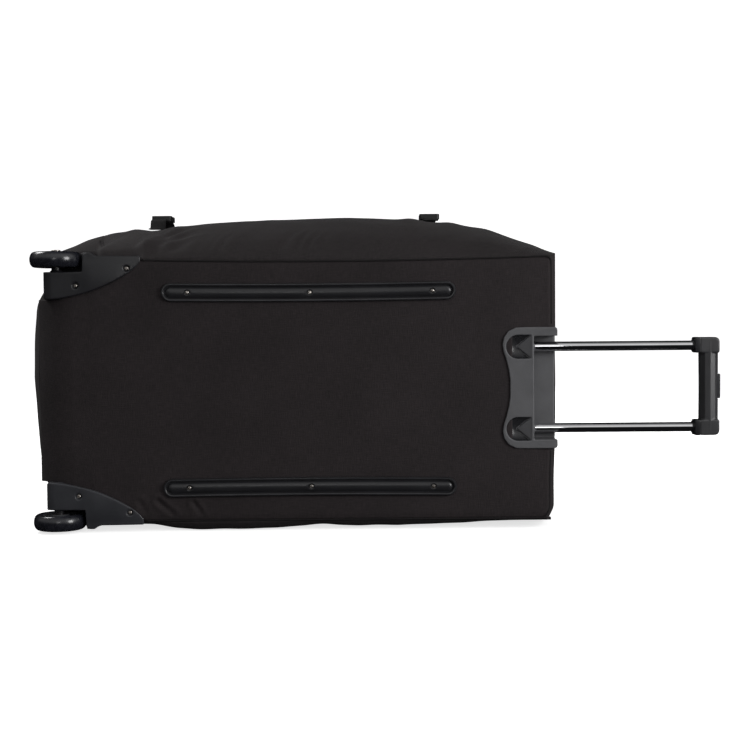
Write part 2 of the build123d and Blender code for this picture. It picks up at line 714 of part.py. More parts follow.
for name, x in STRAPS.items():
    back = [strap_point(x, STRAP_START), (158, STRAP_Z + 0.3), (196, STRAP_Z)]
    front = [(214, STRAP_Z), (242, STRAP_Z), strap_point(x, 300), strap_point(x, STRAP_END)]
    save(webbing(x, back), f"strap_{name}_back")
    save(webbing(x, front), f"strap_{name}_front")

    mid_z = BUCKLE_Z + BUCKLE_H / 2
    with BuildPart() as socket:
        with Locations(at(x, BUCKLE_START + 14, mid_z)):
            Box(BUCKLE_W, 28, BUCKLE_H)
        fillet(socket.edges().filter_by(Axis.Z), 3)
        with Locations(at(x, BUCKLE_START + 18, mid_z)):
            Box(BUCKLE_W - 6, 24, BUCKLE_H - 4, mode=Mode.SUBTRACT)
    save(socket.part, f"buckle_socket_{name}")

    with BuildPart() as clip:
        with Locations(at(x, BUCKLE_START + 28.4 + 7, mid_z)):
            Box(BUCKLE_W, 14, BUCKLE_H)
        fillet(clip.edges().filter_by(Axis.Z), 3)
        for side in (1, -1):
            with Locations(at(x + side * 10, BUCKLE_START + 20, mid_z)):
                Box(5, 20, 4)
        with Locations(at(x, BUCKLE_START + 22, mid_z)):
            Box(4, 16, 4)
    save(clip.part, f"buckle_clip_{name}")

# --- carry handles --------------------------------------------------------------------------
SIDE_HANDLE_Y = 283.0
SIDE_HANDLE = (300.0, 470.0)
with BuildPart() as side_handle:
    with BuildSketch(Plane(at(0, SIDE_HANDLE_Y, 0), x_dir=(1, 0, 0), z_dir=(0, -1, 0))):
        with BuildLine():
            start, end = SIDE_HANDLE
            low = top_of_bag(385, SIDE_HANDLE_Y - 20) + 2
            Polyline(
                (start, low), (start + 24, low + 27), (end - 24, low + 27), (end, low),
                (end - 8, low), (end - 28, low + 22), (start + 28, low + 22), (start + 8, low), close=True,
            )
        make_face()
    extrude(amount=20, both=True)
save(side_handle.part, "side_handle")

# --- zip sliders and pulls ------------------------------------------------------------------
SLIDER_W = 9.0
SLIDER_L = 13.0
PULL_L = 30.0


def slider(x, y, z):
    """Zip slider on a strip whose outer face is at depth y, with a bridge for the pull's bar."""
    with BuildPart() as made:
        with Locations(at(x, y + 1.3, z)):
            Box(SLIDER_L, 2.6, SLIDER_W)
        fillet(made.edges().filter_by(Axis.Y), 2)
        with Locations(at(x, y + 3.8, z)):
            Box(3, 2.4, 6)
        with Locations(at(x, y + 3.35, z)):
            Box(6, 1.5, 2.6, mode=Mode.SUBTRACT)
    return made.part


def pull(x, y, z):
    """Pull tab hanging from a slider: a bar through the bridge, two legs and the tab."""
    with BuildPart() as made:
        with Locations(at(x, y + 3.35, z + 0.5 - PULL_L / 2)):
            Box(8, 1, PULL_L)
        with Locations(at(x, y + 3.35, z - 0.5 - 2)):
            Box(4.4, 2, 4, mode=Mode.SUBTRACT)
        fillet(made.edges().filter_by(Axis.Y).group_by(Axis.Z)[0], 2.5)
    return made.part


MAIN_ZIP_Z = LID_LOW - OPENING / 2
MAIN_ZIP_FACE = ZIP_Y + ZIP_T + 0.3
MAIN_SLIDERS_X = (384.0, 399.0)
for number, x in enumerate(MAIN_SLIDERS_X, start=1):
    save(slider(x, MAIN_ZIP_FACE, MAIN_ZIP_Z), f"main_slider_{number}")
    save(pull(x, MAIN_ZIP_FACE, MAIN_ZIP_Z), f"main_pull_{number}")

POCKET_ZIP_Z = 96.0
POCKET_SLIDER_X = 186.0
POCKET_FACE = POCKET_Y + POCKET_T
with BuildPart() as pocket_zip:
    with Locations(at(POCKET_MID[0], POCKET_FACE + 0.9, POCKET_ZIP_Z)):
        Box(470, 1.6, 10)
save(pocket_zip.part, "pocket_zip")
save(slider(POCKET_SLIDER_X, POCKET_FACE + 2.0, POCKET_ZIP_Z), "pocket_slider")
save(pull(POCKET_SLIDER_X, POCKET_FACE + 2.0, POCKET_ZIP_Z), "pocket_pull")
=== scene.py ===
"""Looks of the rolling duffel bag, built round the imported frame.

Lengths inside this script are millimetres in the bag's own coordinates: x runs from the wheel
end to the pull handle, y from the back panel's face into the bag, z up from the mid-plane that
the wheels mirror about. at() turns them into metres in the frame.
"""

import bmesh
import bpy
import math
from mathutils import Matrix, Vector, noise


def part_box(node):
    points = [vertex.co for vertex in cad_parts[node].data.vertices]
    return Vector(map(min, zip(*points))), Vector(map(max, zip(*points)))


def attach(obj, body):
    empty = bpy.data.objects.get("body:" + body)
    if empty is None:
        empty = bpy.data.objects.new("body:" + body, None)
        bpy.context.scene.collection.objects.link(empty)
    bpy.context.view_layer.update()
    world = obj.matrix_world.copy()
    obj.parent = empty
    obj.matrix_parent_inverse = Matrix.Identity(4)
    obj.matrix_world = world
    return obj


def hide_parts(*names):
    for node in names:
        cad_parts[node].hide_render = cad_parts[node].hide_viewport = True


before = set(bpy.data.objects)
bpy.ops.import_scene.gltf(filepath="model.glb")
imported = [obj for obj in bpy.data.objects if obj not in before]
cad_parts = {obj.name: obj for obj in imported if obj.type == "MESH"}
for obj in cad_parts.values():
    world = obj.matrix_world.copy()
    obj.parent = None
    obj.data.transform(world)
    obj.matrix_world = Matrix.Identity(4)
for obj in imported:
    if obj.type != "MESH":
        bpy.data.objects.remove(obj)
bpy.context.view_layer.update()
MM = 0.001

# --- places taken from the frame ------------------------------------------------------------
WHEEL_X = 17.0  # the wheels' centres, from the wheel end
WHEEL_Y = 12.0
axle_low, axle_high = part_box("wheel_axles")
ORIGIN = (axle_low + axle_high) / 2 - Vector((WHEEL_X, WHEEL_Y, 0)) * MM


def at(x, y, z):
    """A point of the bag, in metres in the frame."""
    return ORIGIN + Vector((x, y, z)) * MM


def in_bag(place):
    """The reverse of at()."""
    return (place - ORIGIN) / MM


def bag_box(node):
    """Lowest and highest corner of a CAD node, in millimetres in the bag's coordinates."""
    return [in_bag(corner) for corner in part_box(node)]


def face_centre(low, high):
    """Centre of a box as seen from the front: x, z."""
    return (low.x + high.x) / 2, (low.z + high.z) / 2


panel_high = bag_box("back_panel")[1]
LENGTH = panel_high.x
SEAM = panel_high.z
FLOOR = bag_box("lower_side_panel")[0].z
FRONT = bag_box("front_frame_panel")[1].y
wheel_low, wheel_high = bag_box("tyre_upper")
WHEEL_R = (wheel_high.x - wheel_low.x) / 2
WHEEL_Z = (wheel_low.z + wheel_high.z) / 2
WHEEL_W = wheel_high.z - wheel_low.z
tube_low, tube_high = bag_box("inner_tubes")
TUBE_Y = (tube_low.y + tube_high.y) / 2
TUBE_R = (tube_high.y - tube_low.y) / 2
TUBE_Z = tube_high.z - TUBE_R
rail_low, rail_high = bag_box("skid_rail_upper")
RAIL_Z = (rail_low.z + rail_high.z) / 2


# --- small mathematics ----------------------------------------------------------------------
def between(table, value):
    """Smooth reading of a table of (place, value) pairs, flat beyond its ends."""
    if value <= table[0][0]:
        return table[0][1]
    if value >= table[-1][0]:
        return table[-1][1]
    slopes = []
    for i in range(len(table)):
        low = table[max(i - 1, 0)]
        high = table[min(i + 1, len(table) - 1)]
        slopes.append((high[1] - low[1]) / (high[0] - low[0]))
    for i in range(len(table) - 1):
        (a, fa), (b, fb) = table[i], table[i + 1]
        if value <= b:
            t = (value - a) / (b - a)
            span = b - a
            return (
                fa * (1 + 2 * t) * (1 - t) ** 2
                + fb * t * t * (3 - 2 * t)
                + slopes[i] * span * t * (1 - t) ** 2
                - slopes[i + 1] * span * t * t * (1 - t)
            )


def ease(low, high, value):
    """0 below low, 1 above high, smooth between."""
    t = min(max((value - low) / (high - low), 0.0), 1.0)
    return t * t * (3 - 2 * t)


def mix(a, b, share):
    return a + (b - a) * share


def bump(distance, width):
    """A soft ridge: 1 on the line, 0 beyond about two widths."""
    return math.exp(-((distance / width) ** 2))


def ripple(x, y, z, size):
    """Smooth noise between about -1 and 1, with features of the given size in millimetres."""
    return noise.noise(Vector((x, y, z)) / size)


# --- materials ------------------------------------------------------------------------------
class Nodes:
    """A short way to write a node tree: a new material's, or the one given."""

    def __init__(self, name, tree=None):
        self.tree = tree
        if tree is None:
            self.material = bpy.data.materials.new(name)
            self.material.use_nodes = True
            self.tree = self.material.node_tree
            self.shader = self.tree.nodes["Principled BSDF"]

    def add(self, kind, links=None, **settings):
        node = self.tree.nodes.new(kind)
        for key, value in settings.items():
            if hasattr(node, key):
                setattr(node, key, value)
            else:
                node.inputs[key].default_value = value
        for key, source in (links or {}).items():
            self.tree.links.new(source, node.inputs[key])
        return node

    def math(self, operation, a, b=None):
        node = self.tree.nodes.new("ShaderNodeMath")
        node.operation = operation
        for socket, value in zip(node.inputs, (a, b)):
            if value is None:
                continue
            if isinstance(value, (int, float)):
                socket.default_value = value
            else:
                self.tree.links.new(value, socket)
        return node.outputs[0]

    def total(self, *terms):
        """Sum of terms: each one a number, a socket, or a socket with its share."""
        result = None
        for term in terms:
            value = self.math("MULTIPLY", *term) if isinstance(term, tuple) else term
            result = value if result is None else self.math("ADD", result, value)
        return result

    def place(self, kind="Object"):
        return self.add("ShaderNodeTexCoord").outputs[kind]

    def noise(self, vector, scale, detail=2.0, roughness=0.5):
        settings = {"Scale": scale, "Detail": detail, "Roughness": roughness}
        return self.add("ShaderNodeTexNoise", {"Vector": vector}, **settings).outputs["Fac"]

    def stretch(self, vector, scale):
        return self.add("ShaderNodeMapping", {"Vector": vector}, Scale=scale).outputs["Vector"]

    def ramp(self, factor, stops):
        node = self.add("ShaderNodeValToRGB", {"Fac": factor})
        elements = node.color_ramp.elements
        while len(elements) < len(stops):
            elements.new(0.5)
        for element, (place, colour) in zip(elements, stops):
            element.position = place
            element.color = (*colour, 1)
        return node.outputs["Color"]

    def relief(self, height, distance, strength=1.0):
        """Bumps the surface by a height that runs from 0 to 1."""
        node = self.add("ShaderNodeBump", {"Height": height}, Distance=distance, Strength=strength)
        self.into("Normal", node.outputs["Normal"])

    def shades(self, factor, colour, *stops):
        """Base colour as shades of one colour; a stop is its place along the factor and its brightness."""
        ramp = [(place, tuple(c * light for c in colour)) for place, light in stops]
        self.into("Base Color", self.ramp(factor, ramp))

    def into(self, socket, source):
        self.tree.links.new(source, self.shader.inputs[socket])

    def set(self, **values):
        for key, value in values.items():
            self.shader.inputs[key.replace("_", " ")].default_value = value


def woven(name, colour, thread=1.9, depth=0.00035, sheen=0.25, roughness=0.78):
    """Plain-woven nylon: threads over and under each other, slubs, and a little uneven dye."""
    n = Nodes(name)
    cloth = n.place("UV")
    turn = 2 * math.pi * 1000 / thread
    split = n.add("ShaderNodeSeparateXYZ", {"Vector": n.stretch(cloth, (turn, turn, 1))})
    over = n.math("MULTIPLY", n.math("SINE", split.outputs[0]), n.math("SINE", split.outputs[1]))
    slub_u = n.noise(n.stretch(cloth, (70, 900, 1)), 1.0, 1.5)
    slub_v = n.noise(n.stretch(cloth, (900, 70, 1)), 1.0, 1.5)
    slubs = n.total(slub_u, slub_v)
    dye = n.noise(cloth, 9.0, 3.0)
    n.shades(n.total((slubs, 0.38), (over, 0.05), (dye, 0.25)), colour, (0.30, 0.55), (0.50, 1), (0.72, 1.6))
    n.into("Roughness", n.total((slubs, 0.12), roughness - 0.12))
    n.relief(n.total((over, 0.3), slubs), depth, 0.8)
    n.set(Sheen_Weight=sheen, Sheen_Roughness=0.45, Specular_IOR_Level=0.25)
    return n.material


def ribbed(name, colour, rib=1.3):
    """Webbing: ribs across the strap, a little lighter in colour on their tops."""
    n = Nodes(name)
    cloth = n.place("UV")
    turn = 2 * math.pi * 1000 / rib
    split = n.add("ShaderNodeSeparateXYZ", {"Vector": n.stretch(cloth, (turn, turn * 0.6, 1))})
    height = n.total(n.math("SINE", split.outputs[0]), (n.math("SINE", split.outputs[1]), 0.35))
    wear = n.noise(cloth, 240.0, 3.0)
    n.shades(n.total((height, 0.14), wear), colour, (0.25, 0.5), (0.55, 1), (0.85, 1.9))
    n.relief(height, 0.0003)
    n.set(Roughness=0.75, Sheen_Weight=0.03, Specular_IOR_Level=0.25)
    return n.material


def moulded(name, colour, roughness=0.42, grain=900.0, depth=0.00006, wear=0.35):
    """Injection-moulded plastic: fine grain, cloudy gloss, edges rubbed lighter."""
    n = Nodes(name)
    grains = n.noise(n.place(), grain)
    clouds = n.noise(n.place(), 22.0, 4.0, 0.6)
    edge = n.add("ShaderNodeNewGeometry").outputs["Pointiness"]
    rubbed = n.ramp(edge, ((0.50, (0, 0, 0)), (0.60, (1, 1, 1))))
    n.shades(n.total((clouds, 0.7), (rubbed, wear)), colour, (0.2, 0.8), (0.5, 1.1), (0.9, 2.0))
    n.into("Roughness", n.total((clouds, 0.2), roughness - 0.1, (grains, 0.06)))
    n.relief(grains, depth)
    return n.material


def metal(name, colour, roughness=0.1, brush=(40, 40, 2500), streak=0.06):
    """Plated or drawn metal with fine streaks along one direction."""
    n = Nodes(name)
    streaks = n.noise(n.stretch(n.place(), brush), 1.0)
    smudges = n.noise(n.place(), 35.0, 3.0)
    n.shades(smudges, colour, (0.3, 0.92), (0.7, 1))
    n.into("Roughness", n.total((streaks, streak), roughness))
    n.set(Metallic=1.0)
    return n.material


def rubbery(name, colour):
    """Smooth moulded wheel rubber with fine dust in its gloss."""
    n = Nodes(name)
    dust = n.noise(n.place(), 160.0, 4.0, 0.65)
    n.shades(dust, colour, (0.35, 1), (0.8, 2.2))
    n.into("Roughness", n.total((dust, 0.22), 0.16))
    n.relief(n.noise(n.place(), 1400.0), 0.00003)
    n.set(Coat_Weight=0.35, Coat_Roughness=0.12)
    return n.material


def stitched(name, colour):
    """Twisted sewing thread."""
    n = Nodes(name)
    twist = n.noise(n.place(), 2600.0, 1.0)
    n.shades(twist, colour, (0.3, 0.5), (0.7, 1.7))
    n.relief(twist, 0.0002)
    n.set(Roughness=0.6, Sheen_Weight=0.3)
    return n.material


def plain_stage(name, colour, bounce, dim, glow):
    """Matt paper: pale to look at, grey in the light it throws back, dim in reflections, like black flags."""
    n = Nodes(name)
    path = n.add("ShaderNodeLightPath")
    seen = path.outputs["Is Camera Ray"]
    use = n.total(seen, (path.outputs["Is Diffuse Ray"], 0.5))
    n.into("Base Color", n.ramp(use, ((0.0, dim), (0.5, bounce), (1.0, colour))))
    n.into("Emission Strength", n.math("MULTIPLY", seen, glow))
    n.set(Emission_Color=(1, 1, 1, 1), Roughness=0.9, Specular_IOR_Level=0.0)
    return n.material


PACK_CLOTH = woven("pack_cloth", (0.0205, 0.0162, 0.0172), sheen=0.03)
SIDE_CLOTH = woven("side_cloth", (0.0200, 0.0165, 0.0172), thread=1.7, sheen=0.05, roughness=0.7)
EDGE_CLOTH = woven("piping_cloth", (0.0085, 0.0072, 0.0076), thread=1.2, depth=0.0002, sheen=0.0)
WEBBING = ribbed("webbing", (0.0110, 0.0105, 0.0110))
TAPE = ribbed("zip_tape", (0.010, 0.010, 0.011), rib=0.9)
THREAD = stitched("thread", (0.012, 0.011, 0.0115))
HOUSING = moulded("housing_plastic", (0.012, 0.012, 0.0145), roughness=0.34)
RAIL = moulded("rail_plastic", (0.016, 0.016, 0.018), roughness=0.30)
BEZEL = moulded("bezel_plastic", (0.090, 0.090, 0.095), roughness=0.46, grain=700.0, depth=0.00009)
GRIP = moulded("grip_plastic", (0.032, 0.032, 0.034), roughness=0.34)
SLEEVE = moulded("sleeve_plastic", (0.010, 0.010, 0.012), roughness=0.3)
# Glossy plastic for the cups, its colour painted much darker than the bezel's as the shade inside them.
BEZEL_GLOSS_AND_SHADE = moulded("bezel_gloss", (0.020, 0.020, 0.022), roughness=0.24)
# The lower housing's copy of the housing plastic, painted lighter as the light the floor throws up on it.
HOUSING_LOW_LIT = moulded("housing_plastic_low", (0.031, 0.032, 0.037), roughness=0.36)
# Glossy black hub plastic, its colour painted lighter as the reflection of the pale surroundings on it.
HUB_PAINTED_REFLECTION = moulded("hub_plastic", (0.045, 0.046, 0.052), roughness=0.25)
BUCKLE = moulded("buckle_plastic", (0.006, 0.006, 0.0065), roughness=0.35)
COIL = moulded("zip_coil", (0.008, 0.008, 0.009), roughness=0.3)
BOARD = moulded("board_plastic", (0.02, 0.02, 0.022), roughness=0.6)
TYRE = rubbery("wheel_rubber", (0.0085, 0.009, 0.0125))
CHROME = metal("chrome", (0.86, 0.86, 0.88), roughness=0.06, brush=(8, 400, 400), streak=0.03)
ALUMINIUM = metal("aluminium", (0.42, 0.42, 0.44), roughness=0.3, streak=0.2)
STEEL = metal("plated_steel", (0.42, 0.39, 0.36), roughness=0.22, streak=0.15)
PAINTED = moulded("slider_enamel", (0.012, 0.012, 0.013), roughness=0.25, grain=2000.0)
FLOOR_PAINT = plain_stage("floor_paint", (0.95, 0.95, 0.95), (0.42, 0.42, 0.43), (0.01, 0.01, 0.011), 0.72)


# --- mesh making ----------------------------------------------------------------------------
def new_object(name, points, faces, material, uvs=None, smooth=True):
    """Object from bag points in millimetres; uvs are per point, in metres."""
    mesh = bpy.data.meshes.new(name)
    mesh.from_pydata([at(*p) for p in points], [], faces)
    mesh.materials.append(material)
    if uvs:
        layer = mesh.uv_layers.new(name="cloth")
        for loop in mesh.loops:
            layer.data[loop.index].uv = uvs[loop.vertex_index]
    mesh.shade_smooth() if smooth else mesh.shade_flat()
    mesh.validate()
    made = bpy.data.objects.new(name, mesh)
    bpy.context.scene.collection.objects.link(made)
    return made


def skin(rings, around, closed=False, capped=False):
    """Faces between rings of points that lie one after another, the last joined to the first if closed."""
    faces = []
    for k in range(rings if closed else rings - 1):
        a, b = k * around, (k + 1) % rings * around
        for i in range(around):
            j = (i + 1) % around
            faces.append((a + i, a + j, b + j, b + i))
    if capped:
        faces.append(tuple(range(around))[::-1])
        faces.append(tuple(range((rings - 1) * around, rings * around)))
    return faces


def grid(name, surface, columns, rows, material, size, flip=False):
    """Sheet whose points are surface(u, v), u and v from 0 to 1; size is its length and width in mm."""
    points, uvs, faces = [], [], []
    for j in range(rows + 1):
        for i in range(columns + 1):
            u, v = i / columns, j / rows
            points.append(surface(u, v))
            uvs.append((u * size[0] * MM, v * size[1] * MM))
    across = columns + 1
    for j in range(rows):
        for i in range(columns):
            corner = j * across + i
            face = (corner, corner + 1, corner + across + 1, corner + across)
            faces.append(face[::-1] if flip else face)
    return new_object(name, points, faces, material, uvs)


def modifier(made, kind, **settings):
    added = made.modifiers.new(kind.lower(), kind)
    for key, value in settings.items():
        setattr(added, key, value)
    return added


def thick(made, mm, offset=-1.0):
    modifier(made, "SOLIDIFY", thickness=mm * MM, offset=offset, use_rim=True)
    return made


def bevel(made, mm, segments, angle=30):
    """Rounds the edges that are sharper than the angle, and applies it."""
    limit = math.radians(angle)
    modifier(made, "BEVEL", width=mm * MM, segments=segments, limit_method="ANGLE", angle_limit=limit)
    return apply_modifiers(made)


def apply_modifiers(made):
    """Replaces the object's mesh by what its modifiers make of it."""
    bpy.context.view_layer.update()
    graph = bpy.context.evaluated_depsgraph_get()
    mesh = bpy.data.meshes.new_from_object(made.evaluated_get(graph), depsgraph=graph)
    made.modifiers.clear()
    made.data = mesh
    return made


def join(name, parts):
    """One object out of several, keeping their materials."""
    bpy.context.view_layer.update()
    with bpy.context.temp_override(
        active_object=parts[0], object=parts[0], selected_objects=parts, selected_editable_objects=parts
    ):
        bpy.ops.object.join()
    parts[0].name = name
    parts[0].data.name = name
    return parts[0]


def mirrored(made, name):
    """A copy of the piece on the other side of the mid-plane."""
    mesh = made.data.copy()
    middle = Matrix.Translation(at(0, 0, 0))
    mesh.transform(middle @ Matrix.Scale(-1, 4, (0, 0, 1)) @ middle.inverted())
    mesh.flip_normals()
    copy = bpy.data.objects.new(name, mesh)
    bpy.context.scene.collection.objects.link(copy)
    return copy


def along(path, closed=False):
    """(point, tangent) at each point of a path in bag millimetres."""
    path = [Vector(p) for p in path]
    count = len(path)
    for i, point in enumerate(path):
        if closed:
            before, after = path[i - 1], path[(i + 1) % count]
        else:
            before, after = path[max(i - 1, 0)], path[min(i + 1, count - 1)]
        yield point, (after - before).normalized()


def rope(name, path, radius, material, around=10, closed=False, up=(0, 1, 0), squash=1.0):
    """Round bar along a path; a radius may be one number or one for each point."""
    points, uvs = [], []
    travelled, last = 0.0, None
    for k, (centre, tangent) in enumerate(along(path, closed)):
        travelled += 0 if last is None else (centre - last).length
        last = centre
        side = tangent.cross(Vector(up)).normalized()
        top = side.cross(tangent).normalized()
        r = radius[k] if isinstance(radius, (list, tuple)) else radius
        for i in range(around):
            angle = 2 * math.pi * i / around
            points.append(centre + side * r * math.cos(angle) + top * r * squash * math.sin(angle))
            uvs.append((travelled * MM, 2 * math.pi * r * i / around * MM))
    return new_object(name, points, skin(len(path), around, closed, not closed), material, uvs)


# A strap's section: share of its width from the middle, share of its thickness.
STRAP_FORM = (
    (-0.5, 0.25), (-0.46, 1.0), (-0.15, 1.12), (0.15, 1.12),
    (0.46, 1.0), (0.5, 0.25), (0.46, 0.0), (-0.46, 0.0),
)


def ribbon(name, path, width, thickness, across, material):
    """Flat strap along a path of its underside; `across` is its width's direction."""
    points, uvs = [], []
    across = Vector(across)
    travelled, last = 0.0, None
    for centre, tangent in along(path):
        travelled += 0 if last is None else (centre - last).length
        last = centre
        normal = across.cross(tangent).normalized()
        for share, height in STRAP_FORM:
            points.append(centre + across * width * share + normal * thickness * height)
            uvs.append((travelled * MM, width * share * MM))
    return new_object(name, points, skin(len(path), len(STRAP_FORM), capped=True), material, uvs)


AXIS_R = 0.05  # a turned solid's points keep this far from its axis


def lathe(name, profile, centre, axis, material, around=64):
    """Solid of revolution; profile is (radius, distance along axis) pairs, from end to end or closed."""
    axis = Vector(axis).normalized()
    side = axis.orthogonal().normalized()
    other = axis.cross(side)
    points = []
    closed = profile[0] == profile[-1]
    rings = profile[:-1] if closed else profile
    for radius, distance in rings:
        for i in range(around):
            angle = 2 * math.pi * i / around
            spoke = side * math.cos(angle) + other * math.sin(angle)
            points.append(Vector(centre) + axis * distance + spoke * radius)
    made = new_object(name, points, skin(len(rings), around, closed, not closed), material)
    tidy_normals(made)
    return made


def rod(radius, start, end, centre, axis, material, around=64):
    """Plain round tool for cutting a bore."""
    profile = ((AXIS_R, start), (radius, start), (radius, end), (AXIS_R, end))
    return lathe("rod", profile, centre, axis, material, around)


def tidy_normals(made):
    """Turns every face outwards and drops doubled points."""
    shape = bmesh.new()
    shape.from_mesh(made.data)
    bmesh.ops.remove_doubles(shape, verts=shape.verts, dist=0.00001)
    bmesh.ops.recalc_face_normals(shape, faces=shape.faces)
    shape.to_mesh(made.data)
    shape.free()


def crisp(made, angle=35):
    """Smooth shading that breaks at sharp edges."""
    shape = bmesh.new()
    shape.from_mesh(made.data)
    for face in shape.faces:
        face.smooth = True
    for edge in shape.edges:
        edge.smooth = len(edge.link_faces) != 2 or edge.calc_face_angle(0) < math.radians(angle)
    shape.to_mesh(made.data)
    shape.free()
    return made


def slab(name, outline, low, high, material, plane="xz"):
    """Prism over an outline; plane xz rises in y, xy rises in z, yz rises in x."""
    place = {
        "xz": lambda a, b, h: (a, h, b),
        "xy": lambda a, b, h: (a, b, h),
        "yz": lambda a, b, h: (h, a, b),
    }[plane]
    count = len(outline)
    points = [place(a, b, low) for a, b in outline] + [place(a, b, high) for a, b in outline]
    faces = [tuple(range(count)), tuple(range(2 * count - 1, count - 1, -1))]
    for i in range(count):
        j = (i + 1) % count
        faces.append((i, i + count, j + count, j))
    made = new_object(name, points, faces, material, smooth=False)
    tidy_normals(made)
    return made


def brick(low, high, material):
    """Block between two corners, for joining to a solid or cutting from it."""
    (x0, y0, z0), (x1, y1, z1) = low, high
    return slab("brick", ((x0, z0), (x1, z0), (x1, z1), (x0, z1)), y0, y1, material)


def boolean(made, tools, operation):
    """Adds to, or cuts from, a solid, and applies the result; the tools are used up."""
    for tool in tools:
        modifier(made, "BOOLEAN", operation=operation, object=tool, solver="EXACT")
    apply_modifiers(made)
    for tool in tools:
        bpy.data.objects.remove(tool)
    return made


def moulding(made, voxel, rounds, material, move=None):
    """Melts a rough solid into one moulded skin with small radii; move shifts its points, in bag mm."""
    modifier(made, "REMESH", mode="VOXEL", voxel_size=voxel * MM, use_smooth_shade=True)
    modifier(made, "SMOOTH", factor=0.5, iterations=rounds)
    apply_modifiers(made)
    if move:
        for vertex in made.data.vertices:
            vertex.co = at(*move(*in_bag(vertex.co)))
    made.data.materials.clear()
    made.data.materials.append(material)
    made.data.shade_smooth()
    return made


def rounded(points, radius, steps=6):
    """Outline with its corners rounded; radius is one number or one for each corner."""
    out = []
    count = len(points)
    for i, point in enumerate(points):
        r = radius[i] if isinstance(radius, (list, tuple)) else radius
        p = Vector(point)
        before = Vector(points[i - 1]) - p
        after = Vector(points[(i + 1) % count]) - p
        reach = min(r / math.tan(before.angle(after) / 2), before.length * 0.49, after.length * 0.49)
        start = p + before.normalized() * reach
        end = p + after.normalized() * reach
        for k in range(steps + 1):
            t = k / steps
            out.append(tuple(start * (1 - t) ** 2 + p * 2 * t * (1 - t) + end * t * t))
    return out


def finish_piece(made, body, slot, *nodes):
    """Puts a piece on its body and hides the nodes that it stands for; slot, the name of its finish, is not
    used.
    """
    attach(made, body)
    if nodes:
        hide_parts(*nodes)
    return made


# --- the soft body's shape ------------------------------------------------------------------
DEPTH = 326  # from the back panel to the front's piping
# How far the upper side stands above the seam along the bag, and the share of it at each depth.
CREST = (
    (-45, 1), (-14, 10), (6, 19), (26, 27), (46, 37.5), (66, 44.5), (86, 49.5), (105, 51), (125, 55),
    (185, 58.5), (235, 65.8), (284, 71.5), (367, 74.2), (467, 76.3), (532, 74), (599, 71), (640, 62.5),
    (664, 58.5), (689, 53.5), (714, 43.7), (739, 32.7), (764, 22), (793, 7),
)
SWELL = (
    (0, 0), (8, 0.22), (25, 0.48), (60, 0.75), (100, 0.93), (150, 1.0), (200, 0.95), (245, 0.82), (290, 0.56),
    (DEPTH, 0.03),
)
# Plan of the wheel end and the handle end: depth, x.
WHEEL_END = ((5, 6), (15, -4), (30, -16), (60, -31), (90, -40), (150, -48.5), (250, -36), (DEPTH, -9))
HANDLE_END = ((0, 775), (3, 781), (8, 784), (30, 787), (80, 790), (165, 793), (250, 791), (DEPTH, 785))
# Lower side where it is full and where it is slack: depth, z; and how full it is along the bag.
RESTING = FLOOR + 0.4
BELLY_FRONT = ((285, RESTING), (310, -213), (DEPTH, -207))
FULL_BELLY = ((0, -SEAM), (4, -207.5), (10, -213.5), (20, -216.8), (38, RESTING), *BELLY_FRONT)
SLACK_BELLY = (
    (0, -SEAM), (8, -203.5), (26, -207.5), (60, -211.5), (100, -215.5), (135, RESTING), *BELLY_FRONT,
)
FILL = (
    (-45, 0.6), (60, 0.5), (100, 0.3), (160, 0.2), (205, 0.95), (300, 1), (390, 0.7), (423, 0.4), (455, 0.6),
    (560, 0.6), (640, 0.35), (690, 0.1), (783, 0),
)
HOUSING_Y, BLOCK_Z = 60.2, 140.6  # the walls of the wheel housings that the cloth meets
STRAPS = {name: sum(p.x for p in bag_box(f"buckle_socket_{name}")) / 2 for name in ("left", "right")}
FACE_MID_X, FACE_MID_Z = LENGTH / 2, 1.0
FACE_HALF_X, FACE_HALF_Z, FACE_CORNER = 393.0, 206.0, 42.0
CORNER_X = 142.0
# Folds that fan out from the housing's tip: slope in plan, width, height, length.
CORNER_FOLDS = ((2.6, 9, 3.4, 90), (1.3, 8, 4.8, 140), (0.75, 7, 4.0, 130), (0.4, 6, 2.6, 120))


def seam_bow(x):
    """How far the upper back seam sags inwards along the bag."""
    return 5.0 * max(0.0, 1 - ((x - 430) / 330) ** 2)


def wheel_end_x(y, z):
    """Outer face of the wheel end, swollen in the middle and held back by the housings."""
    reach = between(WHEEL_END, y) + 2
    hold = 1 - (0.24 if z > 20 else 0.36) * min(abs(z - 20) / 150, 1) ** 1.2 - 0.6 * ease(128, 185, abs(z))
    soft = 1.6 * ripple(0, y, z, 60) * ease(20, 70, y)
    x = -2 + reach * (hold if reach < 0 else 1) + soft
    tuck = ease(126, 141, abs(z)) * ease(20, 45, y) * (1 - ease(HOUSING_Y + 1, HOUSING_Y + 22, y))
    return mix(x, 0.5, tuck)  # drawn in to meet the housing


def slump(z):
    """How far the handle end draws in towards its lower corner."""
    return 3.0 * ease(50, 150, -z) + 9.0 * ease(182, 208, -z)


def handle_end_x(y, z):
    return between(HANDLE_END, y) - slump(z) + 1.5 * ripple(900, y, z, 80) * ease(10, 60, y)


def face_drop(x):
    """How far the rounded corners of the front face take its edge in at x."""
    past = max(abs(x - FACE_MID_X) - (FACE_HALF_X - FACE_CORNER), 0)
    return FACE_CORNER - math.sqrt(max(FACE_CORNER**2 - min(past, FACE_CORNER) ** 2, 0))


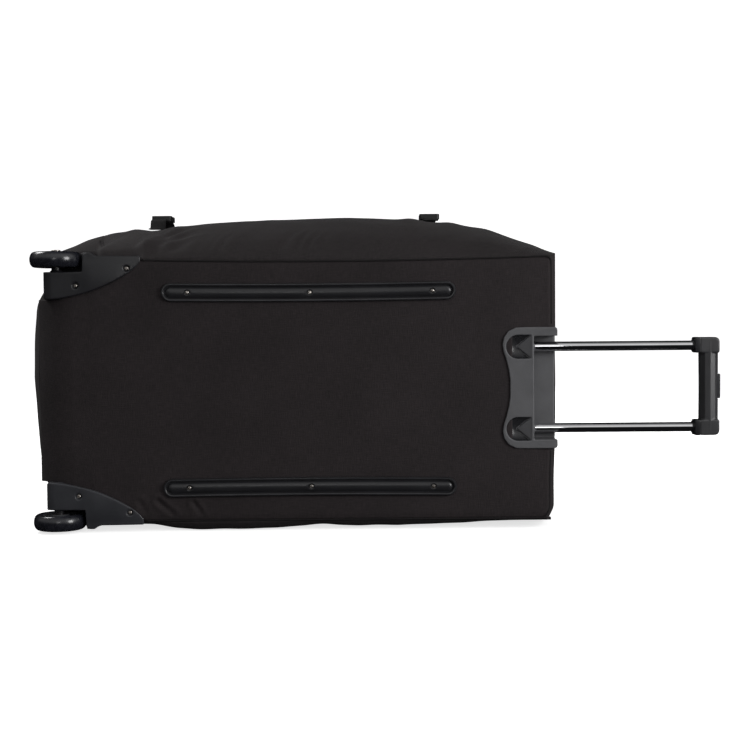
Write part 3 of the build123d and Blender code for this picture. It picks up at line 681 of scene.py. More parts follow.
def side_folds(x, y):
    """Creases of the upper side: fans from the housing's tip, puckers along the seam, slack cloth."""
    folds = 0.0
    for slope, width, height, reach in CORNER_FOLDS:
        bend = slope * (1 + 0.0016 * (x - CORNER_X))
        run = ((x - CORNER_X) + y * bend) / math.hypot(1, bend)
        off = ((x - CORNER_X) * bend - y) / math.hypot(1, bend)
        if run > 0:
            crest = bump(off, width) - 0.35 * bump(off - 1.8 * width, width)
            folds += height * crest * ease(0, 18, run) * (1 - ease(reach * 0.45, reach, run))
    lean = x - 0.55 * y
    beat = math.sin(2 * math.pi * (lean / 29 + 1.8 * ripple(lean, 0, 0, 80)))
    beat *= 0.5 + 0.9 * ripple(lean, 60, 0, 45)
    strength = mix(2.9, 0.6, ease(300, 520, x)) * ease(165, 200, x) * (1 - ease(730, 780, x))
    folds += strength * beat * ease(1, 12, y) * (1 - ease(20, 62, y))
    folds *= ease(0, 14, y)
    folds += 2.6 * ripple(x, y, 40, 95) * ease(20, 90, y) + 1.0 * ripple(x, y, 7, 34) * ease(20, 70, y)
    for strap in STRAPS.values():
        folds -= 3.0 * bump(x - strap, 26) * ease(20, 80, y) * (1 - ease(290, 320, y))
        folds += 2.0 * bump(abs(x - strap) - 34, 16) * ease(40, 110, y)
    return folds


def top_z(x, y):
    """Height of the upper side."""
    base = mix(SEAM - seam_bow(x) + 1.5, FACE_MID_Z + FACE_HALF_Z - face_drop(x) + 2, ease(210, DEPTH, y))
    settle = ease(-30, 20, x) * (1 - ease(760, 790, x)) * (1 - ease(300, 322, y))
    height = base + between(CREST, x) * between(SWELL, y) + side_folds(x, y) * settle
    # The cloth slopes down to the housing.
    limit = 211 + 0.7 * math.hypot(max(x - 66, 0), max(y - HOUSING_Y, 0))
    share = min(max(0.5 + (limit - height) / 24, 0), 1)
    return mix(limit, height, share) - 12 * share * (1 - share)


def bottom_z(x, y):
    """Height of the lower side, which lies on the floor."""
    round_off = face_drop(x) * ease(210, DEPTH, y)
    swell = mix(between(SLACK_BELLY, y), between(FULL_BELLY, y), between(FILL, x))
    swell -= 1.6 * ripple(x, 5, 60, 42) * bump(y - 14, 12)
    return max(swell, FLOOR + 0.2) + round_off


# Short folds pressed into the back panel: from x, z to x, z; width, depth.
PANEL_CREASES = (
    (171, -170, 194, -191, 4.0, 4.6), (226, -173, 237, -190, 3.8, 4.0), (143, -172, 151, -187, 4.5, 2.2),
)


def back_creases(x, z):
    """Short diagonal creases of the back panel, near the lower rail's wheel end."""
    depth = 0.7 * ripple(x, 3, z, 110)
    for x0, z0, x1, z1, width, deep in PANEL_CREASES:
        line = Vector((x1 - x0, z1 - z0))
        spot = Vector((x - x0, z - z0))
        share = spot.dot(line) / line.length_squared
        off = (spot - line * min(max(share, 0), 1)).length
        depth += deep * bump(off, width) - 0.6 * deep * bump(off - width * 1.7, width)
    return depth


# --- sewn panels ----------------------------------------------------------------------------
# Plan of the back panel, which turns round the wheel end: x, depth.
WRAP = ((775, 0.0), (41, 0.0), (27, 2.4), (13, 7.4), (2, 14), (-8, 22), (-15.5, 30))
PANEL_COLUMNS, WRAP_COLUMNS = 240, 24
# Where the back panel goes under the housing: x, z.
HOUSING_HEM = ((-1, 141), (18, 142), (31, 144.5), (46, 147.3), (61, 151), (66, 152.5))
BEZEL_CUT_X, BEZEL_CUT_Y, BEZEL_CUT_Z = 716, 36, 86
RIM_Z = 195  # the ends' outlines are read at this height
CLOTH_T = 3  # panels, with their lining


def wrap_spline(turn):
    """Point of the turned part of WRAP on a smooth line through its points; turn runs from 0 to 5."""
    k = min(int(turn), 4)
    a, b = Vector(WRAP[k + 1]), Vector(WRAP[k + 2])
    before, after = Vector(WRAP[k]) if k else a - (b - a), Vector(WRAP[min(k + 3, 6)])
    t = turn - k
    bend = 2 * before - 5 * a + 4 * b - after
    return 0.5 * (2 * a + (b - before) * t + bend * t**2 + (3 * a - before - 3 * b + after) * t**3)


def back_surface(u, v):
    """Back panel from the handle end to the wheel end, and round it to the wheel-end panel."""
    flat = PANEL_COLUMNS / (PANEL_COLUMNS + WRAP_COLUMNS)
    if u <= flat:
        x, y = mix(WRAP[0][0], WRAP[1][0], u / flat), 0.0
    else:
        x, y = wrap_spline((u - flat) / (1 - flat) * 5)
    hem = between(HOUSING_HEM, x)
    high = mix(hem, SEAM - seam_bow(x), ease(66, 76, x))
    low = mix(-hem, -SEAM, ease(66, 76, x))
    z = mix(low, high, v)
    x -= slump(z) * ease(735, 775, x)
    near_edge = 1 - min(abs(v - 0.5) * 2, 1) ** 8
    sink = 1.4 * (1 - ease(0, 9, min(high - z, z - low))) * ease(60, 90, x)
    pillow = (back_creases(x, z) * near_edge - 1.3 * near_edge) * ease(30, 90, x) * (1 - ease(740, 775, x))
    return x, y + pillow + sink, z


def upper_surface(u, v):
    """Upper side; its lower edge runs along the seam and round behind the housing."""
    x = mix(wheel_end_x(200, RIM_Z), HANDLE_END[5][1], u)
    first = mix(HOUSING_Y + 1, 1, ease(66, 76, x))
    y = mix(first, DEPTH, v**1.25)
    x = mix(wheel_end_x(max(y, 5), RIM_Z), handle_end_x(y, RIM_Z), u)
    hem = (1 - ease(0, 0.07, v)) * (1 - ease(140, 156, x))
    z = mix(top_z(x, y), SEAM - CLOTH_T, hem)
    if v == 0:
        z = min(z, SEAM - seam_bow(x) - CLOTH_T)  # the first row is sewn in under the piping
    return x, y, z


def lower_surface(u, v):
    """Lower side; its edge runs along the seam and round behind the housing."""
    x = mix(wheel_end_x(200, -RIM_Z), HANDLE_END[5][1], u)
    first = HOUSING_Y * (1 - ease(58, 104, x)) + 1.0
    y = mix(first, DEPTH, v**1.25)
    x = mix(wheel_end_x(max(y, 5), -RIM_Z), handle_end_x(y, -RIM_Z), u)
    return x, y, bottom_z(x, y)


def wheel_end_surface(u, v):
    """Wheel end between the lower and the upper side; beside the housings it ends at their blocks."""
    beside = 0.1  # share of the rows beside the housings
    if v < beside:
        y = mix(WRAP[-1][1], HOUSING_Y + 0.5, v / beside)
    else:
        y = mix(HOUSING_Y + 0.5, DEPTH, (v - beside) / (1 - beside))
    x_corner = wheel_end_x(y, RIM_Z)
    z = mix(bottom_z(x_corner, y), top_z(x_corner, y), u)
    if y < HOUSING_Y:
        z = max(min(z, BLOCK_Z), -BLOCK_Z)
    return wheel_end_x(y, z), y, z


def handle_end_surface(u, v):
    """Handle end between the lower and the upper side."""
    y = DEPTH * v**1.6
    x_corner = handle_end_x(y, RIM_Z)
    z = mix(bottom_z(x_corner, y), top_z(x_corner, y), u)
    return handle_end_x(y, z), y, z


def in_back_window(x, y, z):
    return x > BEZEL_CUT_X and abs(z) < BEZEL_CUT_Z


def in_end_window(x, y, z):
    return y < BEZEL_CUT_Y and abs(z) < BEZEL_CUT_Z


def panel(name, surface, columns, rows, material, size, flip=False, window=None):
    """Sewn panel with its thickness; the faces whose centres are in the window are left out."""
    made = grid(f"{name}_cloth", surface, columns, rows, material, size, flip)
    if window:
        shape = bmesh.new()
        shape.from_mesh(made.data)
        gone = [f for f in shape.faces if window(*in_bag(f.calc_center_median()))]
        bmesh.ops.delete(shape, geom=gone, context="FACES")
        shape.to_mesh(made.data)
        shape.free()
    finish_piece(thick(made, CLOTH_T), "bag", "pack_cloth", f"{name}_panel")


columns = PANEL_COLUMNS + WRAP_COLUMNS
panel("back", back_surface, columns, 130, PACK_CLOTH, (800, 401), True, in_back_window)
panel("upper_side", upper_surface, 230, 96, SIDE_CLOTH, (834, 380))
panel("lower_side", lower_surface, 180, 60, SIDE_CLOTH, (834, 340), True)
panel("wheel_end", wheel_end_surface, 100, 70, SIDE_CLOTH, (420, 330))
panel("handle_end", handle_end_surface, 100, 80, SIDE_CLOTH, (420, 330), True, in_end_window)

# Piping along the back panel's seams.
for side, name in ((1, "upper"), (-1, "lower")):
    run = [(x, 1.6, side * (SEAM + 0.8) - (seam_bow(x) if side > 0 else 0)) for x in range(150, 768, 6)]
    corner = []
    for a in (0.2, 0.6, 1.0, 1.4):
        corner.append((777 - 8 * (1 - math.sin(a)), 1.2, side * (SEAM - 7 + 8 * math.cos(a))))
    edge = [(777, 1.8, side * z) for z in range(186, 92, -8)]
    path = [(x - slump(z) * ease(735, 775, x), y, z) for x, y, z in run + corner + edge]
    piping = rope(f"back_piping_{name}", path, 1.5, EDGE_CLOTH)
    finish_piece(piping, "bag", "webbing", "back_piping")


# --- front: frame, lid, zip and pocket ------------------------------------------------------
lid_low, lid_high = bag_box("lid_panel")
zip_low, zip_high = bag_box("zip_half_frame")
OPENING = lid_low.x - zip_low.x
LID_CORNER = 60.0


def outline_reach(angle, centre, low, high, low_corner, high_corner):
    """Distance from centre to a rectangle's edge along a ray; its low and high corners are rounded."""
    direction = Vector((math.cos(angle), math.sin(angle)))

    def outside(distance):
        x, z = centre[0] + direction.x * distance, centre[1] + direction.y * distance
        corner = low_corner if z < (low[1] + high[1]) / 2 else high_corner
        past_x = max(low[0] + corner - x, x - high[0] + corner, 0)
        past_z = max(low[1] + corner - z, z - high[1] + corner, 0)
        if past_x and past_z:
            return math.hypot(past_x, past_z) > corner
        return x < low[0] or x > high[0] or z < low[1] or z > high[1]

    near, far = 0.0, 900.0
    for _ in range(24):
        middle = (near + far) / 2
        if outside(middle):
            far = middle
        else:
            near = middle
    return near


def rings(name, inner, outer, count, depth, centre, close_middle=False):
    """Cloth between two outlines about one centre; depth(share, x, z) is its y."""
    around = 260
    points, uvs = [], []
    for k in range(count + 1):
        share = k / count
        for i in range(around):
            angle = 2 * math.pi * i / around
            reach = mix(inner(angle), outer(angle), share)
            x = centre[0] + math.cos(angle) * reach
            z = centre[1] + math.sin(angle) * reach
            points.append((x, depth(share, x, z), z))
            uvs.append((x * MM, z * MM))
    faces = skin(count + 1, around)
    if close_middle:
        points.append((centre[0], depth(0, *centre), centre[1]))
        uvs.append((centre[0] * MM, centre[1] * MM))
        for i in range(around):
            faces.append(((i + 1) % around, i, len(points) - 1))
    return new_object(name, points, faces, PACK_CLOTH, uvs)


LID_MID = face_centre(lid_low, lid_high)


def lid_edge(angle, grow=0.0):
    low = (lid_low.x - grow, lid_low.z - grow)
    high = (lid_high.x + grow, lid_high.z)
    return outline_reach(angle, LID_MID, low, high, LID_CORNER + grow, 3)


def frame_edge(angle):
    low = (FACE_MID_X - FACE_HALF_X, FACE_MID_Z - FACE_HALF_Z)
    high = (FACE_MID_X + FACE_HALF_X, FACE_MID_Z + FACE_HALF_Z)
    return outline_reach(angle, LID_MID, low, high, FACE_CORNER, FACE_CORNER)


def frame_depth(share, x, z):
    return FRONT - 3.5 * (2 * share - 1) ** 4 + 0.8 * ripple(x, 50, z, 70)


border = rings("front_border_cloth", lambda a: lid_edge(a, OPENING), frame_edge, 12, frame_depth, LID_MID)
finish_piece(thick(border, CLOTH_T), "bag", "pack_cloth", "front_frame_panel")


def lid_depth(share, x, z):
    pillow = 5.5 * (1 - share**6) - 1.5
    return lid_low.y + 3.0 + pillow * 0.75 + 0.9 * ripple(x, 90, z, 80) * (1 - share**4)


MIDDLE_SHARE = 0.03  # a closed sheet's innermost ring, as a share of its edge
lid = rings("lid_cloth", lambda a: MIDDLE_SHARE * lid_edge(a), lid_edge, 40, lid_depth, LID_MID, True)
finish_piece(thick(lid, CLOTH_T), "lid", "pack_cloth", "lid_panel")

pocket_low, pocket_high = bag_box("lid_pocket")
POCKET_MID = face_centre(pocket_low, pocket_high)
POCKET_CORNER = 50
pocket_zip_low, pocket_zip_high = bag_box("pocket_zip")
POCKET_ZIP_Z = face_centre(pocket_zip_low, pocket_zip_high)[1]


def pocket_edge(angle, grow=0.0):
    low = (pocket_low.x - grow, pocket_low.z - grow)
    high = (pocket_high.x + grow, pocket_high.z + grow)
    return outline_reach(angle, POCKET_MID, low, high, POCKET_CORNER + grow, POCKET_CORNER + grow)


def pocket_depth(share, x, z):
    rim = math.sqrt(max(1 - ease(0.9, 1.0, share) ** 2 * 0.98, 0))
    sag = 1.5 * bump(z + 40, 60) + 1.1 * ripple(x, 130, z, 75) + 0.5 * ripple(x, 30, z, 28)
    flat = 1 - 0.85 * bump(z - POCKET_ZIP_Z, 14)
    return pocket_low.y + (pocket_high.y - pocket_low.y) * rim + sag * (1 - share**6) * flat - 0.6


pocket = rings(
    "pocket_cloth", lambda a: MIDDLE_SHARE * pocket_edge(a), pocket_edge, 46, pocket_depth, POCKET_MID, True
)
finish_piece(thick(pocket, 2), "lid", "pack_cloth", "lid_pocket")


def piping_loop(name, reach, centre, depth, radius, count):
    """Closed piping round an outline."""
    loop = []
    for i in range(count):
        angle = 2 * math.pi * i / count
        far = reach(angle) + radius * 0.6
        loop.append((centre[0] + math.cos(angle) * far, depth, centre[1] + math.sin(angle) * far))
    return rope(name, loop, radius, EDGE_CLOTH, closed=True)


piping = piping_loop("front_piping", frame_edge, LID_MID, FRONT - 3, 2.0, 320)
finish_piece(piping, "bag", "webbing", "front_piping")
piping = piping_loop("pocket_piping", pocket_edge, POCKET_MID, pocket_low.y + 1.4, 1.5, 260)
finish_piece(piping, "lid", "webbing")

ZIP_STEP = 2.6  # from one coil to the next
TAPE_FORM = ((0.0, 0.0), (3.4, 0.25), (3.6, -0.3), (0.0, -0.6))  # reach from the zip's middle, rise
# One coil loop's corners: across the zip, along it, rise.
COIL_FORM = (
    (-1.3, -0.85, 0.1), (1.3, -0.85, 0.1), (1.3, 0.85, 0.1), (-1.3, 0.85, 0.1),
    (-1.0, -0.5, 1.15), (1.0, -0.5, 1.15), (1.0, 0.5, 1.15), (-1.0, 0.5, 1.15),
)
COIL_FACES = ((0, 1, 5, 4), (1, 2, 6, 5), (2, 3, 7, 6), (3, 0, 4, 7), (4, 5, 6, 7), (3, 2, 1, 0))


def zip_route(grow):
    """Points round the lid's three free edges, evenly spaced, `grow` outside its edge."""
    left, right = lid_low.x - grow, lid_high.x + grow
    low, top, corner = lid_low.z - grow, lid_high.z - 6, LID_CORNER + grow
    path = [Vector((left, top))]
    arc = [math.pi + math.pi / 2 * k / 16 for k in range(17)]
    for end, side, angles in ((left, 1, arc), (right, -1, reversed(arc))):
        for a in angles:
            path.append(Vector((end + side * corner * (1 + math.cos(a)), low + corner * (1 + math.sin(a)))))
    path.append(Vector((right, top)))
    out, carry = [], 0.0
    for a, b in zip(path, path[1:]):
        span = (b - a).length
        while carry <= span:
            out.append(a + (b - a) * carry / span)
            carry += ZIP_STEP
        carry -= span
    return out


def coil_half(name, route, inward, depth, body, node):
    """One side of a zip: tape, and a coil of close loops along its edge."""
    tape_points, uvs, coil_points, faces = [], [], [], []
    count = len(route)
    for k, spot in enumerate(route):
        tangent = (route[min(k + 1, count - 1)] - route[max(k - 1, 0)]).normalized()
        out = Vector((-tangent.y, tangent.x)) * inward
        for reach, rise in TAPE_FORM:
            p = spot + out * reach
            tape_points.append((p.x, depth + rise, p.y))
            uvs.append(((k + 1) * ZIP_STEP * MM, reach * MM))
        for face in COIL_FACES:
            faces.append(tuple(len(coil_points) + i for i in face))
        for across, forward, rise in COIL_FORM:
            p = spot + out * (0.9 + across * 0.7) + tangent * forward
            coil_points.append((p.x, depth + rise, p.y))
    tape = new_object(f"{name}_tape", tape_points, skin(count, len(TAPE_FORM)), TAPE, uvs)
    coil = new_object(f"{name}_teeth", coil_points, faces, COIL)
    for made in (tape, coil):
        tidy_normals(made)
    finish_piece(join(name, [tape, coil]), body, "zip_tape", node)


ZIP_MIDDLE = OPENING / 2
ZIP_DEPTH = zip_high.y - 1.6
ZIP_PARTING = 0.3  # from the zip's middle line to each tape
coil_half("main_zip_lid", zip_route(ZIP_MIDDLE - ZIP_PARTING), -1, ZIP_DEPTH, "lid", "zip_half_lid")
coil_half("main_zip_frame", zip_route(ZIP_MIDDLE + ZIP_PARTING), 1, ZIP_DEPTH, "bag", "zip_half_frame")
steps = int((pocket_zip_high.x - pocket_zip_low.x) / ZIP_STEP)
for name, inward in (("pocket_zip_high", 1), ("pocket_zip_low", -1)):
    z = POCKET_ZIP_Z + ZIP_PARTING * inward
    straight = [Vector((pocket_zip_low.x + ZIP_STEP * k, z)) for k in range(steps)]
    coil_half(name, straight, inward, pocket_zip_high.y - 1.2, "lid", "pocket_zip")


# --- screws ---------------------------------------------------------------------------------
SCREW_R = 3.2


SCREW_HEIGHT = 2.2


def screw(name, centre, turn):
    """Pan-head screw with a cross recess, facing out of the back."""
    x, y, z = centre
    profile = [(AXIS_R, -2.0), (SCREW_R, -2.0)]
    profile += [(SCREW_R * math.cos(a), SCREW_HEIGHT * math.sin(a)) for a in (0, 0.25, 0.5, 0.8, 1.1, 1.35)]
    head = lathe(name, profile + [(AXIS_R, SCREW_HEIGHT)], centre, (0, -1, 0), STEEL, 40)
    arms = []
    for extra in (0, 90):
        a = math.radians(turn + extra)
        long = Vector((math.cos(a), math.sin(a))) * SCREW_R * 0.68
        short = Vector((-math.sin(a), math.cos(a))) * SCREW_R * 0.2
        outline = [(x + p.x, z + p.y) for p in (long + short, -long + short, -long - short, long - short)]
        arms.append(slab("recess", outline, y - SCREW_HEIGHT - 1, y - SCREW_HEIGHT * 0.35, TYRE))
    return crisp(boolean(head, arms, "DIFFERENCE"), 30)


# --- wheels ---------------------------------------------------------------------------------
TREAD = 8.5  # how far the tread's dome stands out
# Half of the hub's section: radius, distance in from its face.
HUB_FORM = ((11.2, 0), (13.5, 0), (14.4, 1.2), (15.2, 3.2), (23.6, 3.2), (24.6, 1.2), (26.2, 0.5), (26.7, 2))


def wheel(name, side):
    """Tyre with a domed tread, and hub with six long windows."""
    centre = (WHEEL_X, WHEEL_Y, side * WHEEL_Z)
    half = WHEEL_W / 2
    shoulder = WHEEL_R - TREAD
    tread = [(shoulder, -half)]
    for k in range(1, 24):
        a = math.pi * (k / 24 - 0.5)
        tread.append((shoulder + TREAD * math.cos(a) ** 0.8, half * math.sin(a)))
    tread.append((shoulder, half))
    inner = [(27.5, half * 0.93), (26.6, half * 0.6), (26.6, -half * 0.6), (27.5, -half * 0.93)]
    tyre = lathe(f"tyre_{name}", tread + inner + [tread[0]], centre, (0, 0, 1), TYRE, 96)
    finish_piece(tyre, f"wheel_{name}", "tyre", f"tyre_{name}")
    hub_low, hub_high = bag_box(f"wheel_hub_{name}")
    depth = (hub_high.z - hub_low.z) / 2
    profile = [(radius, inset - depth) for radius, inset in HUB_FORM]
    profile += [(radius, depth - inset) for radius, inset in reversed(HUB_FORM)] + [profile[0]]
    hub = lathe(f"wheel_hub_{name}", profile, centre, (0, 0, 1), HUB_PAINTED_REFLECTION, 96)
    windows = []
    for k in range(6):
        turn = math.radians(60 * k + 20)
        out = Vector((math.cos(turn), math.sin(turn)))
        flank = Vector((-out.y, out.x))
        oval = []
        for i in range(24):
            a = 2 * math.pi * i / 24
            p = Vector(centre[:2]) + out * (19.4 + 3.1 * math.cos(a)) + flank * 5.4 * math.sin(a)
            oval.append((p.x, p.y))
        windows.append(slab("window", oval, centre[2] - 20, centre[2] + 20, HUB_PAINTED_REFLECTION, "xy"))
    boolean(hub, windows, "DIFFERENCE")
    bevel(hub, 0.35, 2, 50)
    finish_piece(crisp(hub, 50), f"wheel_{name}", "housing_plastic", f"wheel_hub_{name}")


wheel("upper", 1)
wheel("lower", -1)

# --- wheel housings -------------------------------------------------------------------------
house_low = bag_box("wheel_housing_upper")[0]
PLATE_EDGE = (
    (-1, 183), (-1, 143), (3, 140.4), (18, 141.2), (31, 143), (46, 145.8), (61, 149.5), (75, 153.5),
    (92, 160), (108, 167.5), (123, 176), (135, 184), (143, 191),
    (147.5, 197.5), (148.3, 202.5), (147.6, 206.8),
    (84, 207), (79, 208.5), (73, 212.5), (66, 212.5), (60.5, 208.5), (59.6, 183),
)
WELL_Z = 183  # floor of the wheel's well
HOUSE_SCREW_Y = -2.4
HOUSE_SCREWS = ((127.5, 187.5, 1.4, 20), (49.5, 161.5, -0.2, 55))  # x, z, how far the head is sunk, its turn
# Plans of the two tongues that reach under the cloth: beside the block, and at its wheel end.
FLANGE = ((61, 4), (78, 4), (71, 62), (61, 62))
LIP = ((8, 18), (0, 19), (-5, 24), (-7, 29), (-6, 34), (-2, 41), (8, 46))


def housing_form(x, y, z):
    """Rounds the plate's wheel end, crowns it and lets its tongue curve down to the cloth."""
    face = 1 - ease(-5, 30, y)
    curl = min(max((14 - x) / 15.2, 0), 1)
    crown = 1.4 * bump(z - 174, 24) * ease(40, 75, x) * (1 - ease(110, 150, x))
    dip = 4.4 * (min(max(x - 62, 0) / 86, 1)) ** 2 + 0.8 * ease(52, 70, x) * ease(190, 206, z)
    return x, y + face * (9.5 * (1 - math.sqrt(1 - curl**2)) + dip - crown), z


def housing(name, material):
    """Block with the wheel's well, its face plate with two screw seats, and the tongues."""
    axle, along_axle = (WHEEL_X, WHEEL_Y, 0), (0, 0, 1)
    block_plan = ((-1.2, 60.5), (-1.2, 3.5), (65.5, 3.5), (65.5, 60.5))
    mouth_plan = ((-20, -20), (59.4, -20), (59.4, WHEEL_Y), (-20, 54.4))
    rear_plan = ((-20, -20), (WHEEL_X, -20), (WHEEL_X, 54.6), (-20, 54.6))
    block = slab(name, block_plan, BLOCK_Z - 0.2, 213.5, material, "xy")
    plate = slab("plate", PLATE_EDGE, house_low.y, 6, material)
    flange = slab("flange", FLANGE, 202.5, 208, material, "xy")
    lip = slab("lip", LIP, 135.5, 141.2, material, "xy")
    boolean(block, [plate, flange, lip], "UNION")
    tools = [
        rod(42.6, WELL_Z, 230, axle, along_axle, material, 96),
        slab("mouth", mouth_plan, WELL_Z, 230, material, "xy"),
        slab("rear", rear_plan, WELL_Z, 230, material, "xy"),
        brick((4, 12, 150), (61, 70, 176), material),
        rod(4.2, 176, 190, axle, along_axle, material, 32),
    ]
    boolean(block, tools, "DIFFERENCE")
    boss_form = ((4.3, 180), (9.5, 180), (9.5, 184.5), (8.6, 186), (4.3, 186), (4.3, 180))
    boss = lathe("boss", boss_form, axle, along_axle, material, 48)
    seats = [rod(4.9, 0, 12, (x, HOUSE_SCREW_Y, z), (0, -1, 0), material, 40) for x, z, _, _ in HOUSE_SCREWS]
    boolean(block, seats, "DIFFERENCE")
    boolean(block, [boss], "UNION")
    return moulding(block, 1.05, 5, material, housing_form)


house = housing("wheel_housing_upper", HOUSING)
finish_piece(house, "bag", "housing_plastic", "wheel_housing_upper")
other = mirrored(house, "wheel_housing_lower")
# The lower housing takes the lighter copy of its plastic: painted light from the floor below.
other.data.materials[0] = HOUSING_LOW_LIT
finish_piece(other, "bag", "housing_plastic", "wheel_housing_lower")

heads = []
for side in (1, -1):
    for x, z, sink, turn in HOUSE_SCREWS:
        heads.append(screw("housing_screw", (x, HOUSE_SCREW_Y + sink, side * z), turn * side))
finish_piece(join("housing_screw_heads", heads), "bag", "steel", "housing_screws")

# --- skid rails -----------------------------------------------------------------------------
RAIL_HALF = (rail_high.z - rail_low.z) / 2
RAIL_SCREWS = (220.0, 407.5, 595.0)
RAIL_BOW = 1.8
# Section of a rail from its outer edge inwards: inset, height.
RAIL_FORM = (
    (0.0, 0.0), (0.0, 3.6), (0.5, 5.6), (1.4, 6.8), (2.6, 7.0), (3.8, 6.6), (4.6, 5.3), (5.1, 3.7),
    (5.8, 3.0), (6.5, 3.4), (7.4, 4.6), (8.8, 5.6), (10.8, 6.3), (12.6, 6.6), (14.25, 6.7),
)


def rail(name, side):
    """Long ring of a lip, a groove and a half-round bar inside it; returns its screws."""
    start, end = rail_low.x + RAIL_HALF, rail_high.x - RAIL_HALF
    mid_x, half = (start + end) / 2, (end - start) / 2

    def line(x):
        """Height of the rail's middle line, bowed a little towards the bag's middle."""
        return side * (RAIL_Z - RAIL_BOW * (1 - ((x - mid_x) / (half + RAIL_HALF)) ** 2))

    turn, steps = 20, 60
    spine = []
    for first, last, angle in ((start, end, math.pi / 2), (end, start, -math.pi / 2)):
        spine += [(mix(first, last, k / steps), angle) for k in range(steps + 1)]
        spine += [(last, angle - math.pi * k / turn) for k in range(1, turn)]
    points = []
    for inset, height in RAIL_FORM:
        reach = RAIL_HALF - inset
        for x0, angle in spine:
            x = x0 + math.cos(angle) * reach
            points.append((x, -height, line(x) + math.sin(angle) * reach))
    faces = skin(len(RAIL_FORM), len(spine)) + [tuple(range(len(spine)))[::-1]]
    made = new_object(name, points, faces, RAIL)
    tidy_normals(made)
    spots = [(x, -4.6, line(x)) for x in RAIL_SCREWS]
    cup = ((AXIS_R, 0), (4.7, 0), (4.9, 6), (AXIS_R, 6))
    boolean(made, [lathe("cup", cup, spot, (0, -1, 0), RAIL, 40) for spot in spots], "DIFFERENCE")
    bevel(made, 0.4, 2, 60)
    finish_piece(crisp(made, 40), "bag", "housing_plastic", name)
    return [screw("rail_screw", spot, side * spot[0]) for spot in spots]


heads = rail("skid_rail_upper", 1) + rail("skid_rail_lower", -1)
finish_piece(join("rail_screw_heads", heads), "bag", "steel", "rail_screws")

# --- handle bezel ---------------------------------------------------------------------------
bezel_low, bezel_high = bag_box("handle_bezel")
STEP_X = 750.0
ARM_Z = 79.5
RECESS_Y = 30.4  # deep enough for the grip
CUP_X, CUP_R = 725.5, 18.4
CUP_FLOOR = 6.2
CUP_DEEP = CUP_FLOOR - bezel_low.y
CUP_END = 746.5
# Half of the bezel's outline, from the bag's edge round to its waist.
BEZEL_HALF = (
    (786, 93), (740, 93), (722, 92.4), (711, 87), (704.5, 78),
    (702, 67), (703.5, 56), (707.5, 44), (711.5, 28), (713.6, 12),
)
BEZEL_EDGE = BEZEL_HALF + tuple((x, -z) for x, z in reversed(BEZEL_HALF))


def bezel_form(x, y, z):
    """Lets the two arms flare a little over the bag's edge, and dips the waist."""
    arm = ease(82, 92, abs(z)) * ease(752, 784, x) * (1 - ease(0, 5, y))
    waist = bump(z, 45) * (1 - ease(750, 752, x)) * (1 - ease(0, 3, y))
    return x, y - 0.8 * arm + 0.6 * waist, z


def cup_tools(z):
    """What cuts one cup and its trough towards the recess."""
    rings = [(AXIS_R, 0)]
    for a in (1.4, 1.2, 1, 0.8, 0.6, 0.4, 0.2, 0):
        rings.append((CUP_R * math.cos(a), CUP_DEEP * (1 - math.sin(a))))
    rings += [(CUP_R, 30), (AXIS_R, 30)]
    trough = [(-30, z + CUP_R)]
    for k in range(13):
        a = math.pi * k / 12
        trough.append((CUP_FLOOR - CUP_DEEP * (1 - math.sin(a)), z + CUP_R * math.cos(a)))
    trough.append((-30, z - CUP_R))
    return [
        lathe("dish", rings, (CUP_X, CUP_FLOOR, z), (0, -1, 0), BEZEL),
        slab("trough", trough, CUP_X, CUP_END - 0.5, BEZEL, "yz"),
    ]


def cup_wedge(z):
    """Ridge in a cup: it rises and widens from the cup's middle to the recess."""
    points = [(CUP_X - 1, CUP_FLOOR - 1, z)]
    points += [(CUP_END, y, z + side * CUP_R) for y in (-4.4, 9) for side in (1, -1)]
    points.append((CUP_X - 1, 9, z))
    faces = ((0, 1, 2), (1, 3, 4, 2), (5, 4, 3), (0, 5, 3, 1), (0, 2, 4, 5))
    wedge = new_object("wedge", points, faces, BEZEL)
    tidy_normals(wedge)
    return wedge


def in_cup(x, y, z):
    """Whether a point of the bezel's skin is inside a cup, and not on its ridge: the faces painted dark as
    shade.
    """
    off = abs(abs(z) - TUBE_Z)
    out = math.hypot(x - CUP_X, off) if x < CUP_X else off
    inside = out < CUP_R + 0.3 and x < CUP_END - 0.5
    ridge = x > CUP_X - 2 and off < (x - CUP_X + 3) * CUP_R / 21
    return y > bezel_low.y + 1.4 and inside and not ridge


def bezel():
    """Plate with a tray behind it, the grip's recess, and two glossy cups with their ridges; the cups' colour
    is painted dark as their shade.
    """
    made = slab("handle_bezel", rounded(BEZEL_EDGE, 5, 4), bezel_low.y, 2.0, BEZEL)
    tray = brick((709, 1.0, -83.4), (785.6, bezel_high.y - 0.2, 83.4), BEZEL)
    boolean(made, [tray], "UNION")
    recess = brick((STEP_X, -30, -ARM_Z), (820, RECESS_Y, ARM_Z), BEZEL)
    boolean(made, [recess] + cup_tools(TUBE_Z) + cup_tools(-TUBE_Z), "DIFFERENCE")
    for z in (TUBE_Z, -TUBE_Z):
        boolean(made, [cup_wedge(z)], "UNION")
        boolean(made, [rod(9.1, 0, 20, (741, TUBE_Y, z), (1, 0, 0), BEZEL, 48)], "DIFFERENCE")
    moulding(made, 0.85, 4, BEZEL, bezel_form)
    # The cups take the glossy material whose dark colour is painted shade.
    made.data.materials.append(BEZEL_GLOSS_AND_SHADE)
    for face in made.data.polygons:
        if in_cup(*in_bag(made.matrix_world @ face.center)):
            face.material_index = 1
    return made


finish_piece(bezel(), "bag", "bezel_plastic", "handle_bezel")

